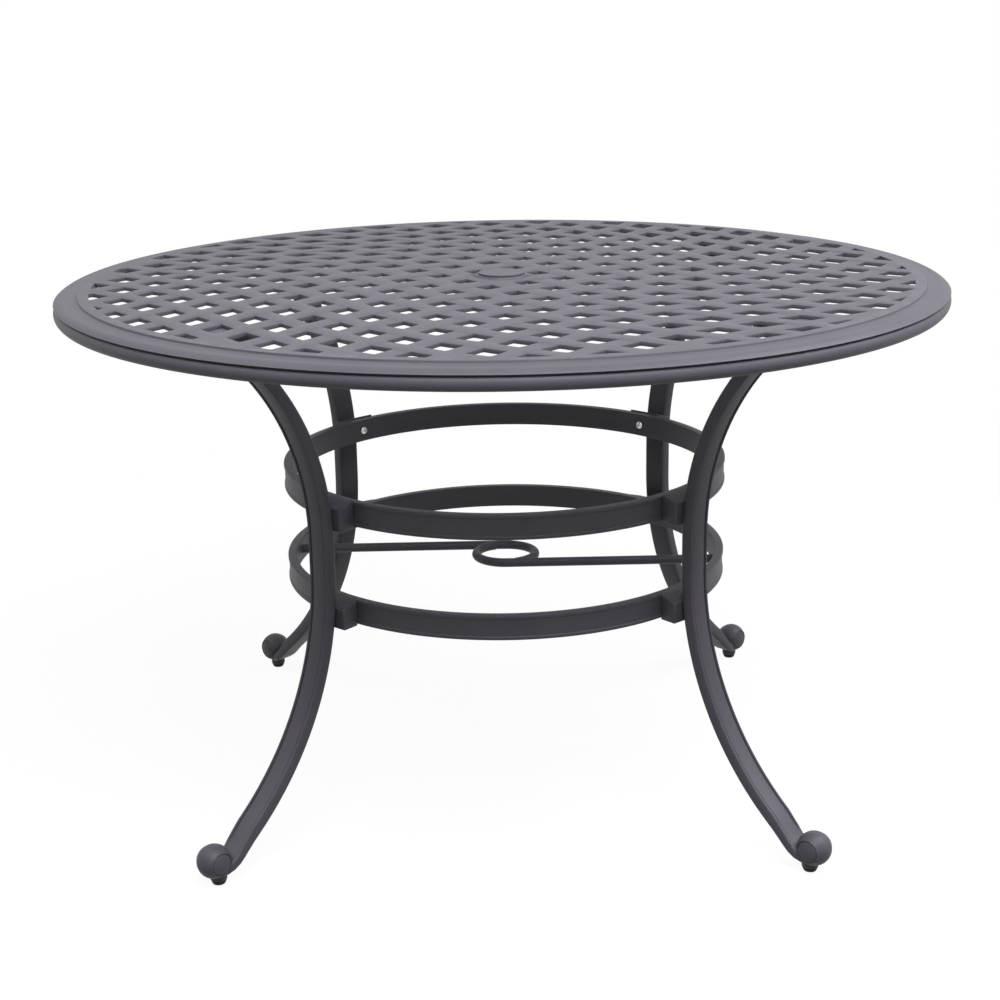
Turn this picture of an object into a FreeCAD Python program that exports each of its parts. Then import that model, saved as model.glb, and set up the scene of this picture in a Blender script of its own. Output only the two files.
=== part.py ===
import FreeCAD, Part
import math
import os
import re
import Sketcher

# Round cast patio table with an umbrella hole. Millimetres, +X right, +Y back, +Z up.
# The origin is on the floor under the middle of the top.

doc = FreeCAD.newDocument("UmbrellaTable")
sheet = doc.addObject("Spreadsheet::Sheet", "Sizes")

# Driving sizes: name, value, what it is.
SIZES = [
    ("tableHeight", 723.9, "floor to the face of the top"),
    ("topDiameter", 1219.2, "over the lower roll of the rim"),
    # Rim
    ("rimDepth", 28.8, "face of the top to the underside of the rim"),
    ("rimWall", 5.5, "metal left behind the groove"),
    ("rollInset", 4.1, "how far the lower roll swells out of the groove"),
    ("rollHeight", 16.8, "height of the lower roll"),
    ("grooveHeight", 2.6, "height of the groove over the lower roll"),
    ("grooveDepth", 3.5, "depth of that groove behind the nose"),
    ("noseDrop", 5.4, "fall of the rounded nose over the groove"),
    ("noseWidth", 13.0, "width of the rounded nose"),
    ("noseBend", 17.0, "radius of the nose"),
    ("shelfWidth", 18.0, "width of the sloping shelf beside the border"),
    ("creaseDepth", 2.5, "step down from the border to the shelf"),
    ("borderWidth", 6.0, "flat border between the crease and the first openings"),
    ("castOverlap", 4.0, "how far the parts of one casting run into each other"),
    ("webDrop", 6.0, "fall of the underside from the lattice out to the rim wall"),
    # Lattice
    ("slatThickness", 5.5, "thickness of the lattice"),
    ("openingWidth", 31.6, "side of one opening"),
    ("leastOpening", 130.0, "area under which a cut-off opening is left closed, square mm"),
    ("latticeTurn", 44.3, "turn of the slats from the X axis, degrees"),
    ("slatPitchLeft", 61.5, "pitch of the slats that run up to the right"),
    ("slatPitchRight", 60.8, "pitch of the slats that run up to the left"),
    ("waveHeightLeft", 36.5, "swing of the first slats to either side"),
    ("waveHeightRight", 27.2, "swing of the second slats to either side"),
    ("waveLengthLeft", 973.0, "length of one whole wave of the first slats"),
    ("waveLengthRight", 870.0, "length of one whole wave of the second slats"),
    ("latticeShiftLeft", -13.9, "first row of openings from the middle"),
    ("latticeShiftRight", -10.4, "second row of openings from the middle"),
    # Hub and hole cover
    ("hubDiameter", 75.0, "raised lip round the umbrella hole"),
    ("hubLip", 1.4, "height of that lip"),
    ("bossDiameter", 66.0, "boss under the lattice"),
    ("bossDepth", 32.0, "face of the top to the underside of the boss"),
    ("holeDiameter", 50.0, "umbrella hole"),
    ("seatDepth", 12.5, "counterbore that takes the skirt of the cover"),
    ("seatWall", 2.2, "step from the hole out to the counterbore"),
    ("coverDiameter", 64.5, "umbrella hole cover"),
    ("coverRise", 5.6, "height of the cover over the lip"),
    ("coverBevel", 1.6, "bevel of the top edge of the cover"),
    ("coverSkirt", 11.0, "depth of the skirt under the cover"),
    ("skirtWall", 1.8, "thickness of the skirt"),
    ("coverPlay", 0.4, "clearance of the skirt in its seat"),
    ("coverSkin", 3.2, "thickness of the cover"),
    ("coverGap", 0.1, "between the cover and the lip it rests on"),
    ("lipSlope", 0.9, "slope of the outside of the lip"),
    # Leg pads under the top
    ("padDepth", 17.5, "face of the top to the underside of the pads"),
    ("padRadius", 489.4, "middle of each leg pad from the middle of the table"),
    ("padLength", 66.0, "leg pad along the radius"),
    ("padWidth", 70.0, "leg pad across"),
    # Legs
    ("legTurn", 45.0, "first leg from the X axis, degrees"),
    ("legWidth", 27.0, "leg across"),
    ("legDepth", 24.0, "leg along the radius"),
    ("waistBottom", 370.0, "height where the straight waist of the leg begins"),
    ("waistLength", 49.0, "straight waist of the leg"),
    ("shoulderRun", 3.0, "how far the upper bend is turned on into the plate, degrees"),
    ("ankleRadius", 490.2, "end of the lower bend from the middle of the table"),
    ("ankleHeight", 59.8, "end of the lower bend over the floor"),
    ("ankleLength", 45.0, "outer face of the leg from the lower bend into the scroll"),
    ("legChamfer", 3.5, "bevel of the inner edges"),
    ("beadWidth", 3.6, "bead along each outer edge"),
    ("beadHeight", 1.4, "height of the bead over the outer face"),
    ("plateThickness", 7.0, "plate on top of each leg"),
    ("plateInset", 3.0, "edge of the plate inside the edge of the pad"),
    ("plateGap", 0.1, "between the plate and the pad"),
    # Scroll foot
    ("scrollReach", 59.8, "middle of the scroll beyond the end of the lower bend"),
    ("scrollHeight", 33.0, "middle of the scroll over the floor"),
    ("scrollDiameter", 45.4, "strap round the scroll"),
    ("strapWidth", 25.0, "width of the strap"),
    ("strapHeight", 1.3, "height of the strap over the domed cheeks"),
    ("cheekRise", 8.0, "swell of each domed cheek beyond the strap"),
    ("soleBend", 250.0, "radius of the underside of the foot"),
    ("soleHeight", 13.0, "underside of the foot where it meets the glide boss"),
    # Glides
    ("glideSetback", 7.0, "middle of each glide inside the middle of its scroll"),
    ("glideBossDiameter", 22.0, "boss under the scroll"),
    ("glideBossLength", 16.0, "boss under the scroll, up into the foot"),
    ("glideHeight", 5.5, "pad of the glide"),
    ("glideDiameter", 20.0, "pad of the glide across its top"),
    ("glideSole", 16.0, "pad of the glide where it meets the floor"),
    ("glideGap", 0.3, "between the pad and the boss when turned right in"),
    ("studDiameter", 8.0, "stem of the glide"),
    ("studLength", 24.0, "stem of the glide, out of its pad"),
    ("studGrip", 3.0, "how deep the stem is held in its pad"),
    ("studRoom", 4.0, "hole past the end of the stem"),
    # Stretcher rings
    ("ringDiameter", 627.0, "over the beads of both rings"),
    ("ringWall", 12.5, "thickness of a ring"),
    ("ringHeight", 33.3, "height of a ring"),
    ("ringBead", 4.0, "bead along each edge of the outer face"),
    ("ringBeadHeight", 1.2, "height of that bead"),
    ("upperRingBase", 435.1, "underside of the upper ring"),
    ("lowerRingBase", 299.8, "underside of the lower ring"),
    ("saddleSweep", 10.0, "turn that one saddle covers, degrees"),
    ("saddleMargin", 2.2, "saddle above and below its ring"),
    ("saddleDepth", 19.9, "saddle along the radius"),
    ("saddleRoot", 5.0, "how far the root of the saddle runs into the leg"),
    ("seatGap", 0.1, "between a ring and its saddle"),
    # Ring bolts
    ("boltDiameter", 6.0, "ring bolts"),
    ("boltLength", 41.0, "ring bolts under the head"),
    ("boltHead", 11.4, "button heads across"),
    ("boltHeadHeight", 3.3, "height of a button head"),
    ("boltCrown", 6.4, "flat end of a button head"),
    ("socketWidth", 4.0, "hexagon socket across its flats"),
    ("socketDepth", 2.0, "depth of the socket"),
    ("boltPlay", 0.3, "clearance of the bolts in rings and plates"),
    ("threadPlay", 0.05, "clearance left round every screw in its thread"),
    ("headGap", 0.1, "under the heads of all bolts"),
    # Bolts between legs and top
    ("topBoltDiameter", 8.0, "bolts between a leg and the top"),
    ("topBoltSpacing", 46.0, "between the two bolts of one leg"),
    ("topBoltLength", 16.0, "bolts under the head"),
    ("topBoltFlats", 13.0, "hexagon heads across their flats"),
    ("topBoltHead", 5.3, "height of a hexagon head"),
    ("boltEndRoom", 1.5, "hole past the end of a bolt"),
    # Pole guide
    ("rodDiameter", 12.7, "rods of the pole guide"),
    ("loopDiameter", 85.0, "loop of the pole guide, at the middle of the rod"),
    ("hookSweep", 160.0, "turn of the hook at the end of each rod, degrees"),
    ("weldGap", 0.05, "left for the weld between a rod and its neighbour"),
]

for row, (name, number, note) in enumerate(SIZES, start=1):
    sheet.set("A%d" % row, note)
    sheet.set("B%d" % row, str(number))
    sheet.setAlias("B%d" % row, name)
doc.recompute()

LEGS = [
    ("rear_right", 0),
    ("rear_left", 1),
    ("front_left", 2),
    ("front_right", 3),
]
ALIAS = re.compile(r"\b[a-z]+[A-Z]\w*")
UP = FreeCAD.Vector(0, 0, 1)


def cells(text):
    """The same expression with every size read from the sheet."""
    return ALIAS.sub(r"Sizes.\g<0>", text)


def worth(text):
    return float(sheet.evalExpression(cells(text)))


def bind(item, path, text):
    item.setExpression(path, cells(text))


def turn(quarter):
    """Turn of one leg about the middle of the table, in degrees."""
    return worth("legTurn") + 90.0 * quarter


def about_z(angle):
    return FreeCAD.Placement(FreeCAD.Vector(), FreeCAD.Rotation(UP, angle))


def new_body(name):
    body = doc.addObject("PartDesign::Body", name)
    body.Label = name
    return body


def sketch_on(body, name, role, lift=None):
    """A sketch on one of the body's own planes, lifted off it by an expression."""
    sketch = body.newObject("Sketcher::SketchObject", name)
    plane = next(item for item in body.Origin.OriginFeatures if item.Role == role)
    sketch.AttachmentSupport = (plane, "")
    sketch.MapMode = "FlatFace"
    if lift:
        bind(sketch, "AttachmentOffset.Base.z", lift)
    return sketch


def upright_sketch(name):
    """A free sketch in the upright plane through the middle of the table."""
    sketch = doc.addObject("Sketcher::SketchObject", name)
    sketch.Placement = FreeCAD.Placement(FreeCAD.Vector(), FreeCAD.Rotation(FreeCAD.Vector(1, 0, 0), 90))
    return sketch


def pin_point(sketch, edge, end, across, up):
    """Hold one end of an edge at two expressions measured from the sketch's origin."""
    for kind, text, axis in (("DistanceX", across, -2), ("DistanceY", up, -1)):
        if text == "0":
            sketch.addConstraint(Sketcher.Constraint("PointOnObject", edge, end, axis))
            continue
        rule = Sketcher.Constraint(kind, -1, 1, edge, end, worth(text))
        index = sketch.addConstraint(rule)
        bind(sketch, "Constraints[%d]" % index, text)


def arc_between(first, last, radius):
    """Short arc; a positive radius turns left on the way from first to last."""
    chord = last - first
    half = chord.Length / 2
    left = FreeCAD.Vector(-chord.y, chord.x, 0).normalize()
    reach = math.sqrt(max(radius * radius - half * half, 0.0))
    side = 1 if radius > 0 else -1
    centre = first + chord * 0.5 + left * (reach * side)
    ends = [first, last] if side > 0 else [last, first]
    angles = [math.atan2(p.y - centre.y, p.x - centre.x) for p in ends]
    circle = Part.Circle(centre, UP, abs(radius))
    return Part.ArcOfCircle(circle, angles[0], angles[1])


def outline(sketch, corners):
    """A closed profile. A corner is (across, up), or (across, up, radius) when an arc leads to it."""
    points = [FreeCAD.Vector(worth(c[0]), worth(c[1]), 0) for c in corners]
    count = len(corners)
    starts = []
    finishes = []
    for index in range(count):
        after = (index + 1) % count
        corner = corners[after]
        first = points[index]
        last = points[after]
        if len(corner) == 2:
            edge = sketch.addGeometry(Part.LineSegment(first, last))
            ends = (1, 2)
        else:
            radius = worth(corner[2])
            edge = sketch.addGeometry(arc_between(first, last, radius))
            ends = (1, 2) if radius > 0 else (2, 1)
        starts.append((edge, ends[0]))
        finishes.append((edge, ends[1]))
    for index in range(count):
        after = (index + 1) % count
        sketch.addConstraint(Sketcher.Constraint("Coincident", *finishes[index], *starts[after]))
        pin_point(sketch, *starts[index], corners[index][0], corners[index][1])
    for index in range(count):
        corner = corners[(index + 1) % count]
        if len(corner) == 3:
            rule = Sketcher.Constraint("Radius", starts[index][0], abs(worth(corner[2])))
            place = sketch.addConstraint(rule)
            bind(sketch, "Constraints[%d]" % place, "abs(%s)" % corner[2])


def disc(sketch, across, up, diameter):
    centre = FreeCAD.Vector(worth(across), worth(up), 0)
    edge = sketch.addGeometry(Part.Circle(centre, UP, worth(diameter) / 2))
    pin_point(sketch, edge, 3, across, up)
    place = sketch.addConstraint(Sketcher.Constraint("Diameter", edge, worth(diameter)))
    bind(sketch, "Constraints[%d]" % place, diameter)


def axis_line(sketch, across):
    """A construction line up the sketch, round which the profile is turned."""
    top = worth("legWidth")
    foot = FreeCAD.Vector(worth(across), 0, 0)
    edge = sketch.addGeometry(Part.LineSegment(foot, foot + FreeCAD.Vector(0, top, 0)), True)
    pin_point(sketch, edge, 1, across, "0")
    sketch.addConstraint(Sketcher.Constraint("Vertical", edge))
    place = sketch.addConstraint(Sketcher.Constraint("DistanceY", edge, 1, edge, 2, top))
    bind(sketch, "Constraints[%d]" % place, "legWidth")


def pad(body, name, sketch, length, reverse=False, middle=False):
    feature = body.newObject("PartDesign::Pad", name)
    feature.Profile = sketch
    bind(feature, "Length", length)
    feature.Reversed = reverse
    if middle:
        feature.SideType = "Symmetric"
    return feature


def pocket(body, name, sketch, length, reverse=False):
    feature = body.newObject("PartDesign::Pocket", name)
    feature.Profile = sketch
    bind(feature, "Length", length)
    feature.Reversed = reverse
    return feature


def spun(body, name, sketch, axis="V_Axis", sweep=None, reverse=False, middle=False, cut=False):
    kind = "PartDesign::Groove" if cut else "PartDesign::Revolution"
    feature = body.newObject(kind, name)
    feature.Profile = sketch
    feature.ReferenceAxis = (sketch, [axis])
    if sweep:
        bind(feature, "Angle", sweep)
    feature.Reversed = reverse
    feature.Midplane = middle
    return feature


def quarters(body, name, feature):
    """Four copies of a feature about the upright axis of the body."""
    pattern = body.newObject("PartDesign::PolarPattern", name)
    pattern.Originals = [feature]
    upright = next(item for item in body.Origin.OriginFeatures if item.Role == "Z_Axis")
    pattern.Axis = (upright, [""])
    pattern.Angle = 360
    pattern.Occurrences = len(LEGS)
    body.Tip = pattern
    return pattern


def turned_solid(name, corners):
    """A free solid turned about the upright axis from a closed profile."""
    sketch = upright_sketch(name + "_profile")
    outline(sketch, corners)
    feature = doc.addObject("Part::Revolution", name)
    feature.Source = sketch
    feature.Axis = UP
    feature.Base = FreeCAD.Vector()
    feature.Angle = 360
    feature.Solid = True
    return feature


def group(name, items):
    feature = doc.addObject("Part::Compound", name)
    feature.Links = items
    return feature


def at_legs(name, item):
    """One node with a separate copy of the item at every leg."""
    copies = []
    for leg, quarter in LEGS:
        copy = group("%s_%s" % (name, leg), [item])
        copy.Placement = about_z(turn(quarter))
        copies.append(copy)
    feature = group(name, copies)
    feature.Label = name
    return feature


# Lattice


def lattice_point(left, right):
    """Crossing of two slat lines, given by their places in the two families."""
    along = right
    across = left
    left_rate = 2 * math.pi / sheet.waveLengthLeft
    right_rate = 2 * math.pi / sheet.waveLengthRight
    for _ in range(12):
        across = left - sheet.waveHeightLeft * math.sin(left_rate * along)
        along = right + sheet.waveHeightRight * math.sin(right_rate * across)
    angle = math.radians(sheet.latticeTurn)
    x = along * math.cos(angle) - across * math.sin(angle)
    y = along * math.sin(angle) + across * math.cos(angle)
    return FreeCAD.Vector(x, y, 0)


def flat_disc(radius):
    return Part.Face(Part.Wire(Part.makeCircle(radius)))


def opening_wires(outer, inner):
    """Outlines of the openings between two circles, cut off where they cross one."""
    half = sheet.openingWidth / 2
    rows = int(outer / sheet.slatPitchRight) + 2
    field = flat_disc(outer)
    middle = flat_disc(inner)
    wires = []
    for i in range(-rows, rows + 1):
        for j in range(-rows, rows + 1):
            left = sheet.latticeShiftLeft + i * sheet.slatPitchLeft
            right = sheet.latticeShiftRight + j * sheet.slatPitchRight
            signs = [(-1, -1), (-1, 1), (1, 1), (1, -1)]
            corners = [lattice_point(left + a * half, right + b * half) for a, b in signs]
            reaches = [corner.Length for corner in corners]
            if min(reaches) > outer:
                continue
            wire = Part.makePolygon(corners + corners[:1])
            if max(reaches) < outer and min(reaches) > inner + half:
                wires.append(wire)
                continue
            left_over = Part.Face(wire).common(field).cut(middle)
            if left_over.Faces and left_over.Area > sheet.leastOpening:
                wires.append(left_over.Faces[0].OuterWire)
    return wires


def fuse(name, items):
    feature = doc.addObject("Part::MultiFuse", name)
    feature.Shapes = items
    return feature


def cut(name, base, tool):
    feature = doc.addObject("Part::Cut", name)
    feature.Base = base
    feature.Tool = tool
    return feature


def block(name, low_x, low_y, low_z, length, width, height):
    feature = doc.addObject("Part::Box", name)
    bind(feature, "Length", length)
    bind(feature, "Width", width)
    bind(feature, "Height", height)
    bind(feature, "Placement.Base.x", low_x)
    bind(feature, "Placement.Base.y", low_y)
    bind(feature, "Placement.Base.z", low_z)
    return feature


def post(name, across, back, low, radius, height):
    feature = doc.addObject("Part::Cylinder", name)
    bind(feature, "Radius", radius)
    bind(feature, "Height", height)
    bind(feature, "Placement.Base.x", across)
    bind(feature, "Placement.Base.y", back)
    bind(feature, "Placement.Base.z", low)
    return feature


# Places that several pieces share, as expressions of the driving sizes.
GROOVE = "(topDiameter / 2 - rollInset)"
NOSE = "(%s + grooveDepth)" % GROOVE
SHELF = "(%s - noseWidth)" % NOSE
BORDER = "(%s - shelfWidth)" % SHELF
GROOVE_BASE = "(tableHeight - rimDepth + rollHeight)"
NOSE_BASE = "(%s + grooveHeight)" % GROOVE_BASE
SLAT_BASE = "(tableHeight - slatThickness)"
PAD_BASE = "(tableHeight - padDepth)"
PLATE_TOP = "(%s - plateGap)" % PAD_BASE
PLATE_BASE = "(%s - plateThickness)" % PLATE_TOP
RING_OUTSIDE = "(ringDiameter / 2)"
RING_INSIDE = "(ringDiameter / 2 - ringWall)"
SADDLE_FACE = "(%s + seatGap)" % RING_OUTSIDE
WAIST = "(%s + saddleDepth + legDepth / 2)" % SADDLE_FACE
WAIST_TOP = "(waistBottom + waistLength)"
UPPER_RISE = "(%s + plateThickness / 2 - %s)" % (PLATE_BASE, WAIST_TOP)
UPPER_RUN = "(padRadius - %s)" % WAIST
UPPER_BEND = "((%s ^ 2 + %s ^ 2) / 2 / %s)" % (UPPER_RISE, UPPER_RUN, UPPER_RUN)
UPPER_SWEEP = "(2 * atan(%s / %s))" % (UPPER_RUN, UPPER_RISE)
LOWER_RISE = "(waistBottom - ankleHeight)"
LOWER_RUN = "(ankleRadius - %s)" % WAIST
LOWER_BEND = "((%s ^ 2 + %s ^ 2) / 2 / %s)" % (LOWER_RISE, LOWER_RUN, LOWER_RUN)
LOWER_SWEEP = "(2 * atan(%s / %s))" % (LOWER_RUN, LOWER_RISE)
SCROLL = "(ankleRadius + scrollReach)"
GLIDE = "(%s - glideSetback)" % SCROLL
FOOT_BASE = "(glideHeight + glideGap)"
STUD_BASE = "(glideHeight - studGrip)"
LIP_TOP = "(tableHeight + hubLip)"
SEAT = "(holeDiameter / 2 + seatWall)"
HEAD_SEAT = "(%s - headGap)" % RING_INSIDE
TOP_HEAD = "(%s - headGap)" % PLATE_BASE


def make_lattice():
    border = worth(BORDER)
    openings = opening_wires(border - sheet.borderWidth, sheet.hubDiameter / 2)
    edges = [Part.Wire(Part.makeCircle(border))]
    edges.append(Part.Wire(Part.makeCircle(sheet.bossDiameter / 2 - sheet.castOverlap)))
    plate = Part.makeFace(edges + openings, "Part::FaceMakerBullseye")
    lattice = doc.addObject("Part::Feature", "lattice")
    lattice.Shape = plate.extrude(FreeCAD.Vector(0, 0, sheet.slatThickness))
    base = FreeCAD.Vector(0, 0, sheet.tableHeight - sheet.slatThickness)
    lattice.Placement = FreeCAD.Placement(base, FreeCAD.Rotation())
    return lattice


def make_rim():
    """Shelf, rounded nose, groove and lower roll, over a wall that hangs under the lattice."""
    roll = "-((rollHeight ^ 2 / 4 + rollInset ^ 2) / 2 / rollInset)"
    wall = "(%s - rimWall)" % GROOVE
    crease = "(tableHeight - creaseDepth)"
    root = "(%s - castOverlap)" % BORDER
    corners = [
        (root, crease),
        (BORDER, crease),
        (SHELF, "%s + noseDrop" % NOSE_BASE),
        (NOSE, NOSE_BASE, "-noseBend"),
        (GROOVE, GROOVE_BASE),
        (GROOVE, "tableHeight - rimDepth", roll),
        (wall, "tableHeight - rimDepth"),
        (wall, "%s - webDrop" % SLAT_BASE),
        (root, SLAT_BASE),
    ]
    return turned_solid("rim", corners)


def make_hub():
    shoulder = "(tableHeight - seatDepth)"
    foot = "(tableHeight - bossDepth)"
    corners = [
        ("holeDiameter / 2", foot),
        ("bossDiameter / 2", foot),
        ("bossDiameter / 2", SLAT_BASE),
        ("hubDiameter / 2", SLAT_BASE),
        ("hubDiameter / 2", "tableHeight"),
        ("hubDiameter / 2 - lipSlope", LIP_TOP),
        (SEAT, LIP_TOP),
        (SEAT, shoulder),
        ("holeDiameter / 2", shoulder),
    ]
    return turned_solid("hub", corners)


def make_top():
    """One casting: lattice, rim, hub, and over each leg a pad with two blind holes."""
    near = "padRadius - padLength / 2"
    height = "padDepth - slatThickness"
    leg_pad = block("leg_pad", near, "-padWidth / 2", PAD_BASE, "padLength", "padWidth", height)
    depth = "topBoltLength + boltEndRoom - headGap - plateThickness - plateGap"
    holes = []
    for side, name in (("-", "pad_hole_a"), ("", "pad_hole_b")):
        back = "%stopBoltSpacing / 2" % side
        holes.append(post(name, "padRadius", back, PAD_BASE, "topBoltDiameter / 2 + threadPlay", depth))
    casting = fuse("casting", [make_lattice(), make_rim(), make_hub(), at_legs("leg_pads", leg_pad)])
    return cut("table_top", casting, at_legs("pad_holes", group("pad_hole_pair", holes)))


def make_cover():
    body = new_body("umbrella_hole_cover")
    base = "(%s + coverGap)" % LIP_TOP
    crown = "(%s + coverRise)" % base
    skirt = "(%s - coverPlay)" % SEAT
    profile = sketch_on(body, "cover_profile", "XZ_Plane")
    outline(profile, [
        ("0", "%s - coverSkin" % crown),
        ("%s - skirtWall" % skirt, "%s - coverSkin" % crown),
        ("%s - skirtWall" % skirt, "%s - coverSkirt" % base),
        (skirt, "%s - coverSkirt" % base),
        (skirt, base),
        ("coverDiameter / 2", base),
        ("coverDiameter / 2", "%s - coverBevel" % crown),
        ("coverDiameter / 2 - coverBevel", crown),
        ("0", crown),
    ])
    spun(body, "cover_turned", profile)
    return body


def leg_section(body, name, height):
    """Section of the leg with a bead along each outer edge, on a level plane."""
    inner = "(%s - legDepth / 2)" % WAIST
    outer = "(%s + legDepth / 2)" % WAIST
    face = "(%s - beadHeight)" % outer
    side = "(legWidth / 2)"
    bead = "(%s - beadWidth)" % side
    section = sketch_on(body, name, "XY_Plane", height)
    outline(section, [
        (inner, "-(%s - legChamfer)" % side),
        ("%s + legChamfer" % inner, "-%s" % side),
        (outer, "-%s" % side),
        (outer, "-%s" % bead),
        (face, "-(%s - beadHeight)" % bead),
        (face, "%s - beadHeight" % bead),
        (outer, bead),
        (outer, side),
        ("%s + legChamfer" % inner, side),
        (inner, "%s - legChamfer" % side),
    ])
    return section


def foot_side(body):
    """Side view of the foot from the end of the lower bend into the scroll."""
    half = "legDepth / 2"
    slope = LOWER_SWEEP
    outer_x = "(ankleRadius + %s * cos(%s))" % (half, slope)
    outer_z = "(ankleHeight + %s * sin(%s))" % (half, slope)
    side = sketch_on(body, "foot_side", "XZ_Plane")
    outline(side, [
        ("ankleRadius - %s * cos(%s)" % (half, slope), "ankleHeight - %s * sin(%s)" % (half, slope)),
        ("%s - castOverlap" % GLIDE, "soleHeight", "soleBend"),
        (SCROLL, "scrollHeight"),
        ("%s + ankleLength * sin(%s)" % (outer_x, slope), "%s - ankleLength * cos(%s)" % (outer_z, slope)),
        (outer_x, outer_z),
    ])
    return side


def scroll_half(body):
    """Half section of the scroll: strap in the middle, domed cheek to either side."""
    reach = "(scrollDiameter / 2 - strapHeight)"
    bend = "((%s ^ 2 + cheekRise ^ 2) / 2 / cheekRise)" % reach
    strap = "(%s + scrollDiameter / 2)" % SCROLL
    cheek = "(%s + %s)" % (SCROLL, reach)
    edge = "(strapWidth / 2)"
    pole = "(%s + cheekRise)" % edge
    half = sketch_on(body, "scroll_half", "XY_Plane", "scrollHeight")
    outline(half, [
        (SCROLL, "-%s" % pole),
        (cheek, "-%s" % edge, bend),
        (strap, "-%s" % edge),
        (strap, edge),
        (cheek, edge),
        (SCROLL, pole, bend),
    ])
    axis_line(half, SCROLL)
    return half


def add_saddle(body, name, base):
    saddle = sketch_on(body, name + "_side", "XZ_Plane")
    root = "(%s + saddleDepth + saddleRoot)" % SADDLE_FACE
    low = "(%s - saddleMargin)" % base
    high = "(%s + ringHeight + saddleMargin)" % base
    outline(saddle, [(SADDLE_FACE, low), (root, low), (root, high), (SADDLE_FACE, high)])
    spun(body, name, saddle, sweep="saddleSweep", middle=True)
    hole = sketch_on(body, name + "_hole_place", "YZ_Plane", SADDLE_FACE)
    disc(hole, "0", "%s + ringHeight / 2" % base, "boltDiameter + 2 * threadPlay")
    depth = "%s + boltLength + boltEndRoom - %s" % (HEAD_SEAT, SADDLE_FACE)
    pocket(body, name + "_hole", hole, depth, reverse=True)


def make_leg(name, quarter):
    body = new_body(name)
    upper = leg_section(body, "upper_section", WAIST_TOP)
    axis_line(upper, "%s + %s" % (WAIST, UPPER_BEND))
    pad(body, "waist", upper, "waistLength", reverse=True)
    spun(body, "upper_bend", upper, "Axis0", "%s + shoulderRun * 1deg" % UPPER_SWEEP)
    lower = leg_section(body, "lower_section", "waistBottom")
    axis_line(lower, "%s + %s" % (WAIST, LOWER_BEND))
    spun(body, "lower_bend", lower, "Axis0", LOWER_SWEEP, reverse=True)
    pad(body, "foot", foot_side(body), "legWidth", middle=True)
    spun(body, "scroll", scroll_half(body), "Axis0")
    boss = sketch_on(body, "glide_boss_place", "XY_Plane", FOOT_BASE)
    disc(boss, GLIDE, "0", "glideBossDiameter")
    pad(body, "glide_boss", boss, "glideBossLength")
    stem = sketch_on(body, "stud_hole_place", "XY_Plane", FOOT_BASE)
    disc(stem, GLIDE, "0", "studDiameter + 2 * threadPlay")
    pocket(body, "stud_hole", stem, "studLength - studGrip + studRoom", reverse=True)
    trim = sketch_on(body, "trim_place", "XY_Plane", PLATE_TOP)
    reach = "(padRadius + padLength)"
    outline(trim, [("0", "-padWidth"), (reach, "-padWidth"), (reach, "padWidth"), ("0", "padWidth")])
    pocket(body, "trim", trim, "legDepth", reverse=True)
    plate = sketch_on(body, "plate_place", "XY_Plane", PLATE_BASE)
    near = "(padRadius - padLength / 2 + plateInset)"
    far = "(padRadius + padLength / 2 - plateInset)"
    side = "(padWidth / 2 - plateInset)"
    outline(plate, [(near, "-" + side), (far, "-" + side), (far, side), (near, side)])
    pad(body, "plate", plate, "plateThickness")
    for hole, back in (("plate_hole_a", "-topBoltSpacing / 2"), ("plate_hole_b", "topBoltSpacing / 2")):
        place = sketch_on(body, hole + "_place", "XY_Plane", PLATE_BASE)
        disc(place, "padRadius", back, "topBoltDiameter + 2 * boltPlay")
        pocket(body, hole, place, "plateThickness", reverse=True)
    add_saddle(body, "upper_saddle", "upperRingBase")
    add_saddle(body, "lower_saddle", "lowerRingBase")
    body.Placement = about_z(turn(quarter))
    return body


def make_ring(name, base):
    body = new_body(name)
    crown = "(%s + ringHeight)" % base
    face = "(%s - ringBeadHeight)" % RING_OUTSIDE
    profile = sketch_on(body, "ring_profile", "XZ_Plane")
    outline(profile, [
        (RING_INSIDE, base),
        (RING_OUTSIDE, base),
        (RING_OUTSIDE, "%s + ringBead" % base),
        (face, "%s + ringBead + ringBeadHeight" % base),
        (face, "%s - ringBead - ringBeadHeight" % crown),
        (RING_OUTSIDE, "%s - ringBead" % crown),
        (RING_OUTSIDE, crown),
        (RING_INSIDE, crown),
    ])
    spun(body, "ring_turned", profile)
    hole = sketch_on(body, "bolt_hole_place", "YZ_Plane")
    disc(hole, "0", "%s + ringHeight / 2" % base, "boltDiameter + 2 * boltPlay")
    quarters(body, "bolt_holes", pocket(body, "bolt_hole", hole, RING_OUTSIDE, reverse=True))
    body.Placement = about_z(turn(0))
    return body


def make_rod(name, half_turn):
    """Straight run from the ring, then a hook round the far side of the loop."""
    body = new_body(name)
    middle = "(lowerRingBase + ringHeight / 2)"
    line = "(loopDiameter / 2)"
    section = sketch_on(body, "rod_section", "YZ_Plane")
    disc(section, line, middle, "rodDiameter")
    pad(body, "straight_run", section, RING_OUTSIDE, reverse=True)
    spun(body, "hook", section, sweep="hookSweep", reverse=True)
    mate = sketch_on(body, "neighbour_section", "YZ_Plane")
    disc(mate, "-%s" % line, middle, "rodDiameter + 2 * weldGap")
    pocket(body, "neighbour", mate, RING_OUTSIDE, reverse=True)
    trim = sketch_on(body, "ring_trim_side", "XZ_Plane")
    near = "(%s - weldGap)" % RING_INSIDE
    far = "(%s + ringWall)" % RING_OUTSIDE
    low = "(%s - rodDiameter)" % middle
    high = "(%s + rodDiameter)" % middle
    outline(trim, [(near, low), (far, low), (far, high), (near, high)])
    spun(body, "ring_trim", trim, cut=True)
    body.Placement = about_z(half_turn)
    return body


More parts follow.
